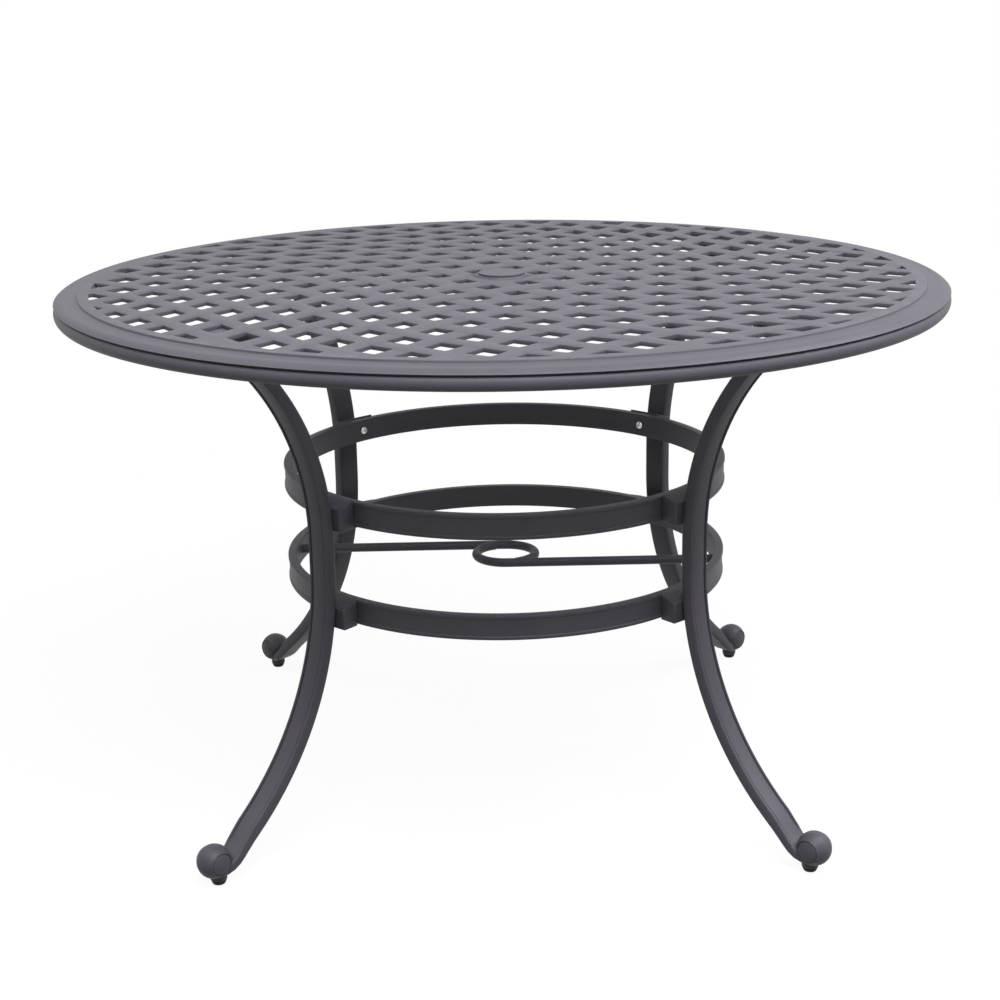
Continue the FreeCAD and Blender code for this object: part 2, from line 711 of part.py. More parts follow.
def on_foot(body, quarter):
    """Set a body on the upright axis of one glide."""
    angle = "(legTurn + %d) * 1deg" % (90 * quarter)
    bind(body, "Placement.Base.x", "%s * cos(%s)" % (GLIDE, angle))
    bind(body, "Placement.Base.y", "%s * sin(%s)" % (GLIDE, angle))


def make_glide_pad(name, quarter):
    body = new_body(name)
    socket = "(studDiameter / 2 + threadPlay)"
    profile = sketch_on(body, "pad_profile", "XZ_Plane")
    outline(profile, [
        ("0", "0"),
        ("glideSole / 2", "0"),
        ("glideDiameter / 2", "glideHeight"),
        (socket, "glideHeight"),
        (socket, STUD_BASE),
        ("0", STUD_BASE),
    ])
    spun(body, "pad_turned", profile)
    on_foot(body, quarter)
    return body


def make_glide_stud(name, quarter):
    body = new_body(name)
    base = "(%s + threadPlay)" % STUD_BASE
    place = sketch_on(body, "stud_place", "XY_Plane", base)
    disc(place, "0", "0", "studDiameter")
    pad(body, "stud", place, "studLength")
    on_foot(body, quarter)
    return body


def lying_round(name, corners, height):
    """A round piece turned about a line along the radius of the table, at one height."""
    sketch = upright_sketch(name + "_profile")
    outline(sketch, corners)
    feature = doc.addObject("Part::Revolution", name)
    feature.Source = sketch
    feature.Axis = FreeCAD.Vector(1, 0, 0)
    bind(feature, "Base.z", height)
    feature.Angle = 360
    feature.Solid = True
    return feature


def make_ring_bolts(name, base):
    axis = "(%s + ringHeight / 2)" % base
    face = "(%s - boltHeadHeight)" % HEAD_SEAT
    end = "(%s + boltLength)" % HEAD_SEAT
    shank = "(%s + boltDiameter / 2)" % axis
    bolt = lying_round(name + "_bolt", [
        (face, axis),
        (end, axis),
        (end, shank),
        (HEAD_SEAT, shank),
        (HEAD_SEAT, "%s + boltHead / 2" % axis),
        (face, "%s + boltCrown / 2" % axis),
    ], axis)
    socket = doc.addObject("Part::Prism", name + "_socket")
    socket.Polygon = 6
    bind(socket, "Circumradius", "socketWidth / sqrt(3)")
    bind(socket, "Height", "socketDepth")
    bind(socket, "Placement.Base.x", face)
    bind(socket, "Placement.Base.z", axis)
    socket.Placement.Rotation = FreeCAD.Rotation(FreeCAD.Vector(0, 1, 0), 90)
    return at_legs(name, cut(name + "_one", bolt, socket))


def make_top_bolts():
    pair = []
    for side, name in (("-", "leg_bolt_a"), ("", "leg_bolt_b")):
        back = "%stopBoltSpacing / 2" % side
        shank = post(name + "_shank", "padRadius", back, TOP_HEAD, "topBoltDiameter / 2", "topBoltLength")
        head = doc.addObject("Part::Prism", name + "_head")
        head.Polygon = 6
        bind(head, "Circumradius", "topBoltFlats / sqrt(3)")
        bind(head, "Height", "topBoltHead")
        bind(head, "Placement.Base.x", "padRadius")
        bind(head, "Placement.Base.y", back)
        bind(head, "Placement.Base.z", "%s - topBoltHead" % TOP_HEAD)
        pair.append(fuse(name, [shank, head]))
    return at_legs("leg_bolts", group("leg_bolt_pair", pair))


pieces = [make_top(), make_cover()]
for leg, quarter in LEGS:
    pieces.append(make_leg(leg + "_leg", quarter))
    pieces.append(make_glide_pad(leg + "_glide_pad", quarter))
    pieces.append(make_glide_stud(leg + "_glide_stud", quarter))
pieces.append(make_ring("upper_ring", "upperRingBase"))
pieces.append(make_ring("lower_ring", "lowerRingBase"))
pieces.append(make_rod("guide_rod_left", 0))
pieces.append(make_rod("guide_rod_right", 180))
pieces.append(make_ring_bolts("upper_ring_bolts", "upperRingBase"))
pieces.append(make_ring_bolts("lower_ring_bolts", "lowerRingBase"))
pieces.append(make_top_bolts())
doc.recompute()

for item in doc.Objects:
    if "Invalid" in item.State or "Error" in item.State:
        raise RuntimeError("%s did not build: %s" % (item.Name, item.State))
for piece in pieces:
    if piece.Shape.isNull() or not piece.Shape.isValid():
        raise RuntimeError("%s has no valid shape" % piece.Label)

os.makedirs("parts", exist_ok=True)
for piece in pieces:
    piece.Shape.exportStep("parts/%s.step" % piece.Label)
    print(piece.Label, len(piece.Shape.Solids), round(piece.Shape.Volume))
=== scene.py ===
import bmesh
import bpy
import math
from mathutils import Matrix, Vector


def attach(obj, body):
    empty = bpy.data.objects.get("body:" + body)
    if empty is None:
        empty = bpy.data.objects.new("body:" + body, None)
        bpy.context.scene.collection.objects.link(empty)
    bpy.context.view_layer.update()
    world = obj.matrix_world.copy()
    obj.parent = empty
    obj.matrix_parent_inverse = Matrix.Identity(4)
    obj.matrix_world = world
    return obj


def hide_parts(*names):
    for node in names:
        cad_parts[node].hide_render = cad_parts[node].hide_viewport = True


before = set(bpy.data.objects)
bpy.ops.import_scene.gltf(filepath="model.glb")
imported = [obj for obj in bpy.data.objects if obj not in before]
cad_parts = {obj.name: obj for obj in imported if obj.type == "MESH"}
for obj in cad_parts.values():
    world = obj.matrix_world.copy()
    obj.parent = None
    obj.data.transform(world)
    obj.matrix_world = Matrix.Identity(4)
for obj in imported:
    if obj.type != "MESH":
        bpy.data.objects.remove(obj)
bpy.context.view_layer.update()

# Round cast patio table with a woven lattice top. Metres, +X right, +Y back, +Z up.
legNames = ["rear_right", "rear_left", "front_left", "front_right"]
legTurn = 45.0
# vertices closer than the gap are one; a line starts as a dot, a tiny plane merged to one vertex
mergeGap, dot = 0.000002, 0.001
# steps round a corner, and round one that turns less than the slight turn
cornerSteps, slightSteps, slightTurn, bevelSteps = 4, 2, 0.6, 3


# Helpers


def camelName(name):
    # a node name such as upper_ring as upperRing
    first, *others = name.split("_")
    return first + "".join(word.capitalize() for word in others)


def objectMode():
    if bpy.context.object and bpy.context.object.mode != "OBJECT":
        bpy.ops.object.mode_set(mode="OBJECT")


def dropSelection():
    objectMode()
    bpy.ops.object.select_all(action="DESELECT")


def pick(piece):
    dropSelection()
    piece.select_set(True)
    bpy.context.view_layer.objects.active = piece


def editMode(piece):
    pick(piece)
    bpy.ops.object.mode_set(mode="EDIT")
    bpy.context.tool_settings.mesh_select_mode = (True, False, False)
    bpy.ops.mesh.select_all(action="DESELECT")


def selectAll():
    bpy.ops.mesh.select_all(action="SELECT")


def extrudeBy(x, y, z):
    bpy.ops.mesh.extrude_region_move(TRANSFORM_OT_translate={"value": (x, y, z)})


def selectWhere(piece, kind, test):
    # selects the faces, edges or vertices that pass the test, and nothing else
    bpy.ops.mesh.select_all(action="DESELECT")
    mesh = bmesh.from_edit_mesh(piece.data)
    bpy.context.tool_settings.mesh_select_mode = (kind == "verts", kind == "edges", kind == "faces")
    for part in getattr(mesh, kind):
        if test(part):
            part.select_set(True)
    mesh.select_flush_mode()
    bmesh.update_edit_mesh(piece.data)


def addShape(name, operator, **settings):
    # one of Blender's own shapes as a new object
    dropSelection()
    operator(**settings)
    piece = bpy.context.object
    piece.name = name
    return piece


def settle(piece):
    # the finished object sits at the origin, unturned and unscaled
    pick(piece)
    bpy.ops.object.transform_apply(location=True, rotation=True, scale=True)


def closeUp(piece):
    # doubles merged, faces turned outwards, and put in the order of their corners: a spin leaves them
    # in another order each run, which a Boolean would pass on to its vertices
    editMode(piece)
    selectAll()
    bpy.ops.mesh.remove_doubles(threshold=mergeGap)
    bpy.ops.mesh.normals_make_consistent(inside=False)
    mesh = bmesh.from_edit_mesh(piece.data)
    mesh.verts.index_update()
    count = len(mesh.verts)

    def place(face):
        first, second, third = sorted(vertex.index for vertex in face.verts)[:3]
        return (first * count + second) * count + third

    mesh.faces.sort(key=place)
    bmesh.update_edit_mesh(piece.data)
    objectMode()


def applyModifier(piece, kind, **values):
    pick(piece)
    modifier = piece.modifiers.new(kind.title(), kind)
    for name, value in values.items():
        setattr(modifier, name, value)
    bpy.ops.object.modifier_apply(modifier=modifier.name)


def joinPieces(name, pieces):
    dropSelection()
    for piece in pieces:
        piece.select_set(True)
    bpy.context.view_layer.objects.active = pieces[0]
    bpy.ops.object.join()
    joined = bpy.context.object
    joined.name = name
    joined.data.name = name
    settle(joined)
    return joined


def movePiece(piece, place):
    piece.location = place
    settle(piece)


def turnPiece(piece, x=0, y=0, z=0):
    # turned about the axes through the origin, in degrees
    piece.rotation_euler = [math.radians(angle) for angle in (x, y, z)]
    settle(piece)


def copyPiece(piece, name):
    # a copy with its own mesh
    pick(piece)
    bpy.ops.object.duplicate()
    copy = bpy.context.object
    copy.name = name
    copy.data.name = name
    return copy


def legCopies(piece, names):
    # one copy for each leg, turned about the upright axis of the table
    copies = [copyPiece(piece, name) for name in names]
    for quarter, copy in enumerate(copies):
        turnPiece(copy, z=legTurn + 90 * quarter)
    deletePiece(piece)
    return copies


def deletePiece(piece):
    pick(piece)
    bpy.ops.object.delete()


def drawLine(name, points, closed=True):
    # a line in the upright plane, drawn by extruding one vertex from point to point
    (x, z), *others = points
    piece = addShape(name, bpy.ops.mesh.primitive_plane_add, size=dot, location=(x, 0, z))
    editMode(piece)
    selectAll()
    bpy.ops.mesh.merge(type="CENTER")
    for nextX, nextZ in others:
        extrudeBy(nextX - x, 0, nextZ - z)
        x, z = nextX, nextZ
    if closed:
        selectWhere(piece, "verts", lambda v: len(v.link_edges) == 1)
        bpy.ops.mesh.edge_face_add()
    selectAll()
    return piece


def spinPiece(name, points, steps, closed=True):
    # a full turn of a drawn line about the upright axis, with its seam and poles closed
    piece = drawLine(name, points, closed)
    bpy.ops.mesh.spin(steps=steps, angle=2 * math.pi, center=(0, 0, 0), axis=(0, 0, 1))
    closeUp(piece)
    settle(piece)
    return piece


def arcPoints(first, last, radius, count):
    # points of the short arc from first to last; a positive radius turns left on the way
    chord = Vector(last) - Vector(first)
    half = chord.length / 2
    left = Vector((-chord.y, chord.x)).normalized()
    reach = math.sqrt(max(radius * radius - half * half, 0.0))
    side = 1 if radius > 0 else -1
    centre = (Vector(first) + Vector(last)) / 2 + left * reach * side
    start = math.atan2(first[1] - centre.y, first[0] - centre.x)
    sweep = 2 * math.asin(min(half / abs(radius), 1.0)) * side
    angles = [start + sweep * n / count for n in range(count + 1)]
    return [(centre.x + abs(radius) * math.cos(a), centre.y + abs(radius) * math.sin(a)) for a in angles]


def roundedLine(corners):
    # corners are (x, z) or (x, z, radius): those with a radius are rounded by a short arc
    points = []
    for n, corner in enumerate(corners):
        if len(corner) < 3 or not corner[2]:
            points.append(corner[:2])
            continue
        here = Vector(corner[:2])
        before = (Vector(corners[n - 1][:2]) - here).normalized()
        after = (Vector(corners[(n + 1) % len(corners)][:2]) - here).normalized()
        opening = before.angle(after)
        reach = corner[2] / math.tan(opening / 2)
        middle = here + (before + after).normalized() * (corner[2] / math.sin(opening / 2))
        spokes = [here + before * reach - middle, here + after * reach - middle]
        angles = [math.atan2(s.y, s.x) for s in spokes]
        sweep = (angles[1] - angles[0] + math.pi) % (2 * math.pi) - math.pi
        count = cornerSteps if abs(sweep) > slightTurn else slightSteps
        for k in range(count + 1):
            angle = angles[0] + sweep * k / count
            points.append((middle.x + corner[2] * math.cos(angle), middle.y + corner[2] * math.sin(angle)))
    return points


def softLine(rounds, corners):
    # the corners, each rounded by its own radius
    return roundedLine([(*corner, radius) for corner, radius in zip(corners, rounds)])


def dress(piece, material, body, nodes, angle=38.0):
    # smooth shading, finish, and what the piece stands for in the frame
    pick(piece)
    bpy.ops.object.shade_smooth_by_angle(angle=math.radians(angle))
    piece.data.materials.clear()
    piece.data.materials.append(material)
    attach(piece, body)
    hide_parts(*nodes)


# Finishes


def linker(tree):
    # joins an output of one node to an input of another, by name or by place
    def link(node, output, other, entry):
        tree.links.new(node.outputs[output], other.inputs[entry])

    return link


def newGroup(name, inputs, outputs):
    group = bpy.data.node_groups.new(name, "ShaderNodeTree")
    for label, kind, value in inputs:
        socket = group.interface.new_socket(name=label, in_out="INPUT", socket_type=kind)
        socket.default_value = value
    for label, kind in outputs:
        group.interface.new_socket(name=label, in_out="OUTPUT", socket_type=kind)
    start = group.nodes.new("NodeGroupInput")
    end = group.nodes.new("NodeGroupOutput")
    return group, linker(group), start, end


def addNode(tree, kind, values=None, **settings):
    node = tree.nodes.new(kind)
    for name, value in settings.items():
        setattr(node, name, value)
    for name, value in (values or {}).items():
        node.inputs[name].default_value = value
    return node


def edgeWearAndPaintedShadeGroup():
    # brighter, rubbed colour on raised edges (wear), and painted shade: a darker colour down in grooves and
    # corners, where shade falls
    group, link, start, end = newGroup("edgeWearAndPaintedShade", [
        ("Color", "NodeSocketColor", (0.05, 0.05, 0.05, 1)),
        ("Worn Color", "NodeSocketColor", (0.2, 0.2, 0.2, 1)),
        ("Painted Shade Color", "NodeSocketColor", (0.01, 0.01, 0.01, 1)),
        ("Amount", "NodeSocketFloat", 0.3),
        ("Patch Size", "NodeSocketFloat", 60.0),
    ], [("Color", "NodeSocketColor")])
    shape = addNode(group, "ShaderNodeNewGeometry")
    ridge = addNode(group, "ShaderNodeMapRange", {"From Min": 0.52, "From Max": 0.60})
    link(shape, "Pointiness", ridge, "Value")
    place = addNode(group, "ShaderNodeTexCoord")
    patches = addNode(group, "ShaderNodeTexNoise", {"Detail": 4.0, "Roughness": 0.6})
    link(place, "Object", patches, "Vector")
    link(start, "Patch Size", patches, "Scale")
    broken = addNode(group, "ShaderNodeMapRange", {"From Min": 0.38, "From Max": 0.62})
    link(patches, "Fac", broken, "Value")
    both = addNode(group, "ShaderNodeMath", operation="MULTIPLY")
    link(ridge, "Result", both, 0)
    link(broken, "Result", both, 1)
    mask = addNode(group, "ShaderNodeMath", operation="MULTIPLY", use_clamp=True)
    link(both, 0, mask, 0)
    link(start, "Amount", mask, 1)
    mixed = addNode(group, "ShaderNodeMix", data_type="RGBA")
    link(mask, 0, mixed, "Factor")
    link(start, "Color", mixed, 6)
    link(start, "Worn Color", mixed, 7)
    # painted shade: the colour turns darker where the surface is hollow, in grooves and corners
    paintedShadeMask = addNode(group, "ShaderNodeMapRange", {"From Min": 0.49, "From Max": 0.43, "To Max": 0.6})
    link(shape, "Pointiness", paintedShadeMask, "Value")
    paintedShadeMix = addNode(group, "ShaderNodeMix", data_type="RGBA")
    link(paintedShadeMask, "Result", paintedShadeMix, "Factor")
    link(mixed, 2, paintedShadeMix, 6)
    link(start, "Painted Shade Color", paintedShadeMix, 7)
    link(paintedShadeMix, 2, end, "Color")
    return group


def grainGroup():
    # the fine pebble of a baked powder coat, over slow waves left by the casting
    group, link, start, end = newGroup("castGrain", [
        ("Grain Size", "NodeSocketFloat", 1400.0),
        ("Wave Size", "NodeSocketFloat", 45.0),
        ("Wave Share", "NodeSocketFloat", 0.5),
    ], [("Height", "NodeSocketFloat"), ("Fine", "NodeSocketFloat"), ("Slow", "NodeSocketFloat")])
    place = addNode(group, "ShaderNodeTexCoord")
    fine = addNode(group, "ShaderNodeTexNoise", {"Detail": 2.0, "Roughness": 0.55})
    slow = addNode(group, "ShaderNodeTexNoise", {"Detail": 3.0, "Roughness": 0.5})
    for node, size in ((fine, "Grain Size"), (slow, "Wave Size")):
        link(place, "Object", node, "Vector")
        link(start, size, node, "Scale")
    share = addNode(group, "ShaderNodeMix", data_type="FLOAT")
    link(start, "Wave Share", share, 0)
    link(fine, "Fac", share, 2)
    link(slow, "Fac", share, 3)
    link(share, 0, end, "Height")
    link(fine, "Fac", end, "Fine")
    link(slow, "Fac", end, "Slow")
    return group


def rangeGroup():
    # spreads a value round a middle, clamped
    group, link, start, end = newGroup("spread", [
        ("Value", "NodeSocketFloat", 0.5),
        ("Low", "NodeSocketFloat", 0.3),
        ("High", "NodeSocketFloat", 0.5),
    ], [("Result", "NodeSocketFloat")])
    spread = addNode(group, "ShaderNodeMapRange", {"From Min": 0.3, "From Max": 0.7})
    link(start, "Value", spread, "Value")
    link(start, "Low", spread, "To Min")
    link(start, "High", spread, "To Max")
    link(spread, "Result", end, "Result")
    return group


edgeWearAndPaintedShade = edgeWearAndPaintedShadeGroup()
castGrain = grainGroup()
spreadValue = rangeGroup()


def groupNode(tree, group, values):
    node = tree.nodes.new("ShaderNodeGroup")
    node.node_tree = group
    for name, value in values.items():
        node.inputs[name].default_value = value
    return node


def makeFinish(name, finish):
    # two close colours in soft patches, painted shade in the grooves, rubbed edges and a pebbled or scratched
    # skin
    material = bpy.data.materials.new(name)
    material.use_nodes = True
    tree = material.node_tree
    shader = tree.nodes["Principled BSDF"]
    link = linker(tree)
    grain = groupNode(tree, castGrain, {
        "Grain Size": finish["grainSize"], "Wave Size": finish["waveSize"],
        "Wave Share": finish["waveShare"]})

    def spread(output, ends):
        node = groupNode(tree, spreadValue, {"Low": ends[0], "High": ends[1]})
        link(grain, output, node, "Value")
        return node

    tint = addNode(tree, "ShaderNodeMix", {
        6: (*finish["colour"], 1), 7: (*finish["secondColour"], 1)}, data_type="RGBA")
    link(spread("Slow", finish["patches"]), "Result", tint, "Factor")
    # the rubbed edges are wear; the darker colour given for grooves and corners is painted shade
    wear = groupNode(tree, edgeWearAndPaintedShade, {
        "Worn Color": (*finish["wornColour"], 1), "Painted Shade Color": (*finish["paintedShade"], 1),
        "Amount": finish["wear"], "Patch Size": finish["patchSize"]})
    link(tint, 2, wear, "Color")
    link(wear, "Color", shader, "Base Color")
    link(spread(finish["roughFrom"], finish["roughness"]), "Result", shader, "Roughness")
    bump = addNode(tree, "ShaderNodeBump", {"Strength": finish["bump"], "Distance": finish["bumpDepth"]})
    link(grain, "Height", bump, "Height")
    link(bump, "Normal", shader, "Normal")
    shader.inputs["Metallic"].default_value = finish["metallic"]
    shader.inputs["IOR"].default_value = finish["ior"]
    return material


# each finish's painted shade is the darker colour it takes in grooves and corners, where shade falls
coat = {"patches": (0.0, 1.0), "roughFrom": "Height", "metallic": 0.0}
bareMetal = {
    "patches": (0.3, 0.7), "roughFrom": "Fine", "metallic": 1.0, "ior": 1.5, "waveShare": 0.4,
    "wornColour": (0.8, 0.8, 0.8), "wear": 0.3, "patchSize": 400.0, "bump": 0.25, "bumpDepth": 0.0001}
charcoalCoat = makeFinish("charcoalCoat", {
    **coat, "colour": (0.056, 0.0535, 0.064), "secondColour": (0.066, 0.061, 0.070),
    "wornColour": (0.13, 0.125, 0.14), "paintedShade": (0.0112, 0.0107, 0.0128), "wear": 0.35, "patchSize": 90.0,
    "grainSize": 1500.0, "waveSize": 14.0, "waveShare": 0.25,
    "roughness": (0.44, 0.56), "bump": 0.35, "bumpDepth": 0.0004, "ior": 1.33})
rodCoat = makeFinish("rodCoat", {
    **coat, "colour": (0.052, 0.050, 0.059), "secondColour": (0.060, 0.056, 0.064),
    "wornColour": (0.12, 0.115, 0.13), "paintedShade": (0.0104, 0.0100, 0.0118), "wear": 0.25, "patchSize": 120.0,
    "grainSize": 1800.0, "waveSize": 22.0, "waveShare": 0.2,
    "roughness": (0.44, 0.55), "bump": 0.3, "bumpDepth": 0.0003, "ior": 1.33})
blackPlastic = makeFinish("blackPlastic", {
    **coat, "colour": (0.005, 0.005, 0.0055), "secondColour": (0.008, 0.0075, 0.008),
    "wornColour": (0.02, 0.02, 0.02), "paintedShade": (0.0010, 0.0010, 0.0011), "wear": 0.4, "patchSize": 200.0,
    "grainSize": 2600.0, "waveSize": 60.0, "waveShare": 0.3,
    "roughness": (0.42, 0.58), "bump": 0.3, "bumpDepth": 0.0002, "ior": 1.25})
stainless = makeFinish("stainless", {
    **bareMetal, "colour": (0.70, 0.69, 0.68), "secondColour": (0.56, 0.55, 0.55),
    "paintedShade": (0.012, 0.012, 0.012), "grainSize": 2500.0, "waveSize": 300.0, "roughness": (0.2, 0.34)})
zincPlate = makeFinish("zincPlate", {
    **bareMetal, "colour": (0.40, 0.40, 0.42), "secondColour": (0.30, 0.31, 0.33),
    "paintedShade": (0.05, 0.05, 0.05), "grainSize": 2000.0, "waveSize": 200.0, "roughness": (0.3, 0.45)})
print("finishes made")


# Top: woven lattice, rim and hub of one casting

lattice = {
    "turn": 44.3, "opening": 0.0316, "openingAtCentre": 0.0255, "openingGrowth": 0.0175, "corner": 0.0015,
    "pitchLeft": 0.0615, "pitchRight": 0.0608,
    "swingLeft": 0.0365, "swingRight": 0.0272,
    "waveLeft": 0.973, "waveRight": 0.870,
    "shiftLeft": -0.0139, "shiftRight": -0.0104, "crossingSteps": 12,
    "face": 0.7239, "thickness": 0.0055, "border": 0.5625, "hub": 0.0375, "edgeRound": 0.0010,
    # an opening is left out when less than this area of it is free, counted in steps
    "least": 0.000110, "areaSteps": 40,
    # the sheet is woven in cells past the border, and cut back to a reach
    "cells": 11, "countedCells": 9, "reach": 0.66, "innerStop": 0.3,
    # dip of the lower slat from stop to stop, crown of each slat, and where both run out
    "dip": 0.0005, "ramp": (0.0, 1.0, 0.65, 0.35, 0.12, 0.0), "crown": 0.00015,
    "reliefEnd": 0.555, "endFade": 0.016, "reliefStart": 0.042, "startFade": 0.02,
    # edges between a wall and a face of the sheet, told by their normals, are rounded within a reach
    "wallTilt": 0.3, "faceTilt": 0.7, "roundReach": 0.600}
# along a cell lie the six stops of its opening, and then the middle of the next slat
lastStop, slatMiddle, perCell = 5, 6, 7


def latticePoint(left, right):
    # crossing of two slat lines, each swinging gently from side to side
    along, across = right, left
    leftRate = 2 * math.pi / lattice["waveLeft"]
    rightRate = 2 * math.pi / lattice["waveRight"]
    for _ in range(lattice["crossingSteps"]):
        across = left - lattice["swingLeft"] * math.sin(leftRate * along)
        along = right + lattice["swingRight"] * math.sin(rightRate * across)
    angle = math.radians(lattice["turn"])
    return (along * math.cos(angle) - across * math.sin(angle),
            along * math.sin(angle) + across * math.cos(angle))


def openingScale(left, right):
    # the openings grow a little from the hub towards the border
    reach = min(math.hypot(*latticePoint(left, right)), lattice["border"])
    return (lattice["openingAtCentre"] + lattice["openingGrowth"] * reach) / lattice["opening"]


def openingArea(i, j):
    # what is left of one opening between the hub and the border, counted on a fine grid
    left = lattice["shiftLeft"] + i * lattice["pitchLeft"]
    right = lattice["shiftRight"] + j * lattice["pitchRight"]
    half = lattice["opening"] / 2 * openingScale(left, right)
    corners = [Vector(latticePoint(left + a * half, right + b * half))
               for a, b in ((-1, -1), (-1, 1), (1, 1), (1, -1))]
    whole = abs((corners[2] - corners[0]).cross(corners[3] - corners[1])) / 2
    if min(c.length for c in corners) > lattice["border"]:
        return 0.0
    count, inside = lattice["areaSteps"], 0
    for m in range(count):
        for n in range(count):
            s, t = (m + 0.5) / count, (n + 0.5) / count
            spot = (corners[0] * (1 - s) * (1 - t) + corners[1] * (1 - s) * t
                    + corners[2] * s * t + corners[3] * s * (1 - t))
            inside += lattice["hub"] < spot.length < lattice["border"]
    return whole * inside / count ** 2


def slatLine(side):
    # the stops along one family of openings: (middle of the opening, way out from there)
    half = lattice["opening"] / 2
    inner = half - lattice["corner"]
    near = lattice["innerStop"] * half
    line = []
    for i in range(-lattice["cells"], lattice["cells"] + 1):
        middle = lattice["shift" + side] + i * lattice["pitch" + side]
        line += [(middle, stop) for stop in (-half, -inner, -near, near, inner, half)]
        line.append((middle + lattice["pitch" + side] / 2, 0.0))
    return line


def gridSpot(vertex, last):
    # the pair of slat lines that a vertex of the plain grid stands for
    return round((vertex.co.x + 1) / 2 * last), round((vertex.co.y + 1) / 2 * last)


def cutOpenings(piece, last):
    # openings are cut out where enough of them is left
    editMode(piece)
    bpy.context.tool_settings.mesh_select_mode = (False, False, True)
    mesh = bmesh.from_edit_mesh(piece.data)
    opened, corners = {}, []
    for face in mesh.faces:
        spots = [gridSpot(vertex, last) for vertex in face.verts]
        i, m = divmod(min(a for a, b in spots), perCell)
        j, n = divmod(min(b for a, b in spots), perCell)
        if m >= lastStop or n >= lastStop:
            continue
        key = (i - lattice["cells"], j - lattice["cells"])
        if key not in opened:
            outlying = max(abs(key[0]), abs(key[1])) > lattice["countedCells"]
            opened[key] = outlying or openingArea(*key) > lattice["least"]
        if opened[key] and m in (0, lastStop - 1) and n in (0, lastStop - 1):
            corners.append((face, m, n))
        elif opened[key]:
            face.select_set(True)
    # the tiny corner cells keep their outer half, so that each opening has cut corners
    for face, m, n in corners:
        ordered = sorted(face.verts, key=lambda vertex: gridSpot(vertex, last))
        inside = ordered[2 * (m == 0) + (n == 0)]
        mesh.faces.new([vertex for vertex in face.verts if vertex is not inside])
        face.select_set(True)
    bmesh.update_edit_mesh(piece.data)
    bpy.ops.mesh.delete(type="FACE")


def slatDip(i, m, j, n):
    # share of the dip at stop (m, n) of cell (i, j): a slat dips where it passes under its neighbour
    if m in (0, lastStop, slatMiddle) and 0 < n < lastStop:
        odd = (i - (m == 0) + j) % 2
        return lattice["ramp"][n if odd else lastStop - n]
    if n in (0, lastStop, slatMiddle) and 0 < m < lastStop:
        odd = (i + j - (n == 0)) % 2
        return lattice["ramp"][lastStop - m if odd else m]
    return 0.0


def reliefShare(reach):
    # the relief runs out towards the border and towards the hub
    outward = (lattice["reliefEnd"] - reach) / lattice["endFade"]
    inward = (reach - lattice["reliefStart"]) / lattice["startFade"]
    return min(max(outward, 0.0), 1.0) * min(max(inward, 0.0), 1.0)


def weaveSlats(piece, last):
    # each vertex goes to the crossing of its slat lines, and down by the relief
    lines = slatLine("Left"), slatLine("Right")
    mesh = bmesh.from_edit_mesh(piece.data)
    loose = [vertex for vertex in mesh.verts if not vertex.link_faces]
    for vertex in mesh.verts:
        a, b = gridSpot(vertex, last)
        i, m = divmod(a, perCell)
        j, n = divmod(b, perCell)
        (middleLeft, outLeft), (middleRight, outRight) = lines[0][a], lines[1][b]
        scale = openingScale(middleLeft + outLeft, middleRight + outRight)
        x, y = latticePoint(middleLeft + outLeft * scale, middleRight + outRight * scale)
        depth = slatDip(i, m, j, n) * lattice["dip"]
        if slatMiddle not in (m, n):
            depth += lattice["crown"]
        vertex.co = (x, y, lattice["face"] - depth * reliefShare(math.hypot(x, y)))
    bmesh.ops.delete(mesh, geom=loose, context="VERTS")
    bmesh.update_edit_mesh(piece.data)


def openingEdge(edge):
    # an edge between a face of the sheet and the wall of an opening
    if len(edge.link_faces) != 2 or edge.verts[0].co.xy.length > lattice["roundReach"]:
        return False
    tilts = sorted(abs(face.normal.z) for face in edge.link_faces)
    return tilts[0] < lattice["wallTilt"] and tilts[1] > lattice["faceTilt"]


def makeLattice():
    last = perCell * (2 * lattice["cells"] + 1) - 1
    piece = addShape("topCasting", bpy.ops.mesh.primitive_grid_add, x_subdivisions=last,
                     y_subdivisions=last, size=2.0)
    cutOpenings(piece, last)
    weaveSlats(piece, last)
    # far corners of the sheet go before it gets its thickness
    selectWhere(piece, "faces", lambda f: max(v.co.xy.length for v in f.verts) > lattice["reach"])
    bpy.ops.mesh.delete(type="FACE")
    selectAll()
    bpy.ops.mesh.flip_normals()
    applyModifier(piece, "SOLIDIFY", thickness=lattice["thickness"], offset=-1.0, use_even_offset=False)
    # upper and lower edges of the openings are rounded
    editMode(piece)
    selectWhere(piece, "edges", openingEdge)
    bpy.ops.mesh.bevel(offset=lattice["edgeRound"], segments=slightSteps, clamp_overlap=False)
    objectMode()
    return piece


rim = {
    "border": 0.5776, "borderRound": 0.0008, "innerBorder": 0.5625, "crease": (0.5782, 0.7214),
    "creaseRound": 0.0007, "shelfStart": (0.5900, 0.7204), "shelfEnd": (0.5950, 0.7200),
    "nose": (0.6090, 0.7145), "noseBend": 0.017, "noseSteps": 9,
    "lip": (0.6055, 0.7119), "rollBase": (0.6055, 0.6951), "rollSwell": 0.0041, "rollSteps": 14,
    "wall": 0.600, "wallRound": 0.0008, "webFoot": 0.7124, "webRound": 0.003, "webEnd": 0.575,
    "webEndRound": 0.004, "steps": 240}
# ring that the lattice sheet is cut back to, a little inside the border ring and the hub
trim = {"inner": 0.031, "outer": 0.5645, "low": 0.700, "high": 0.740}


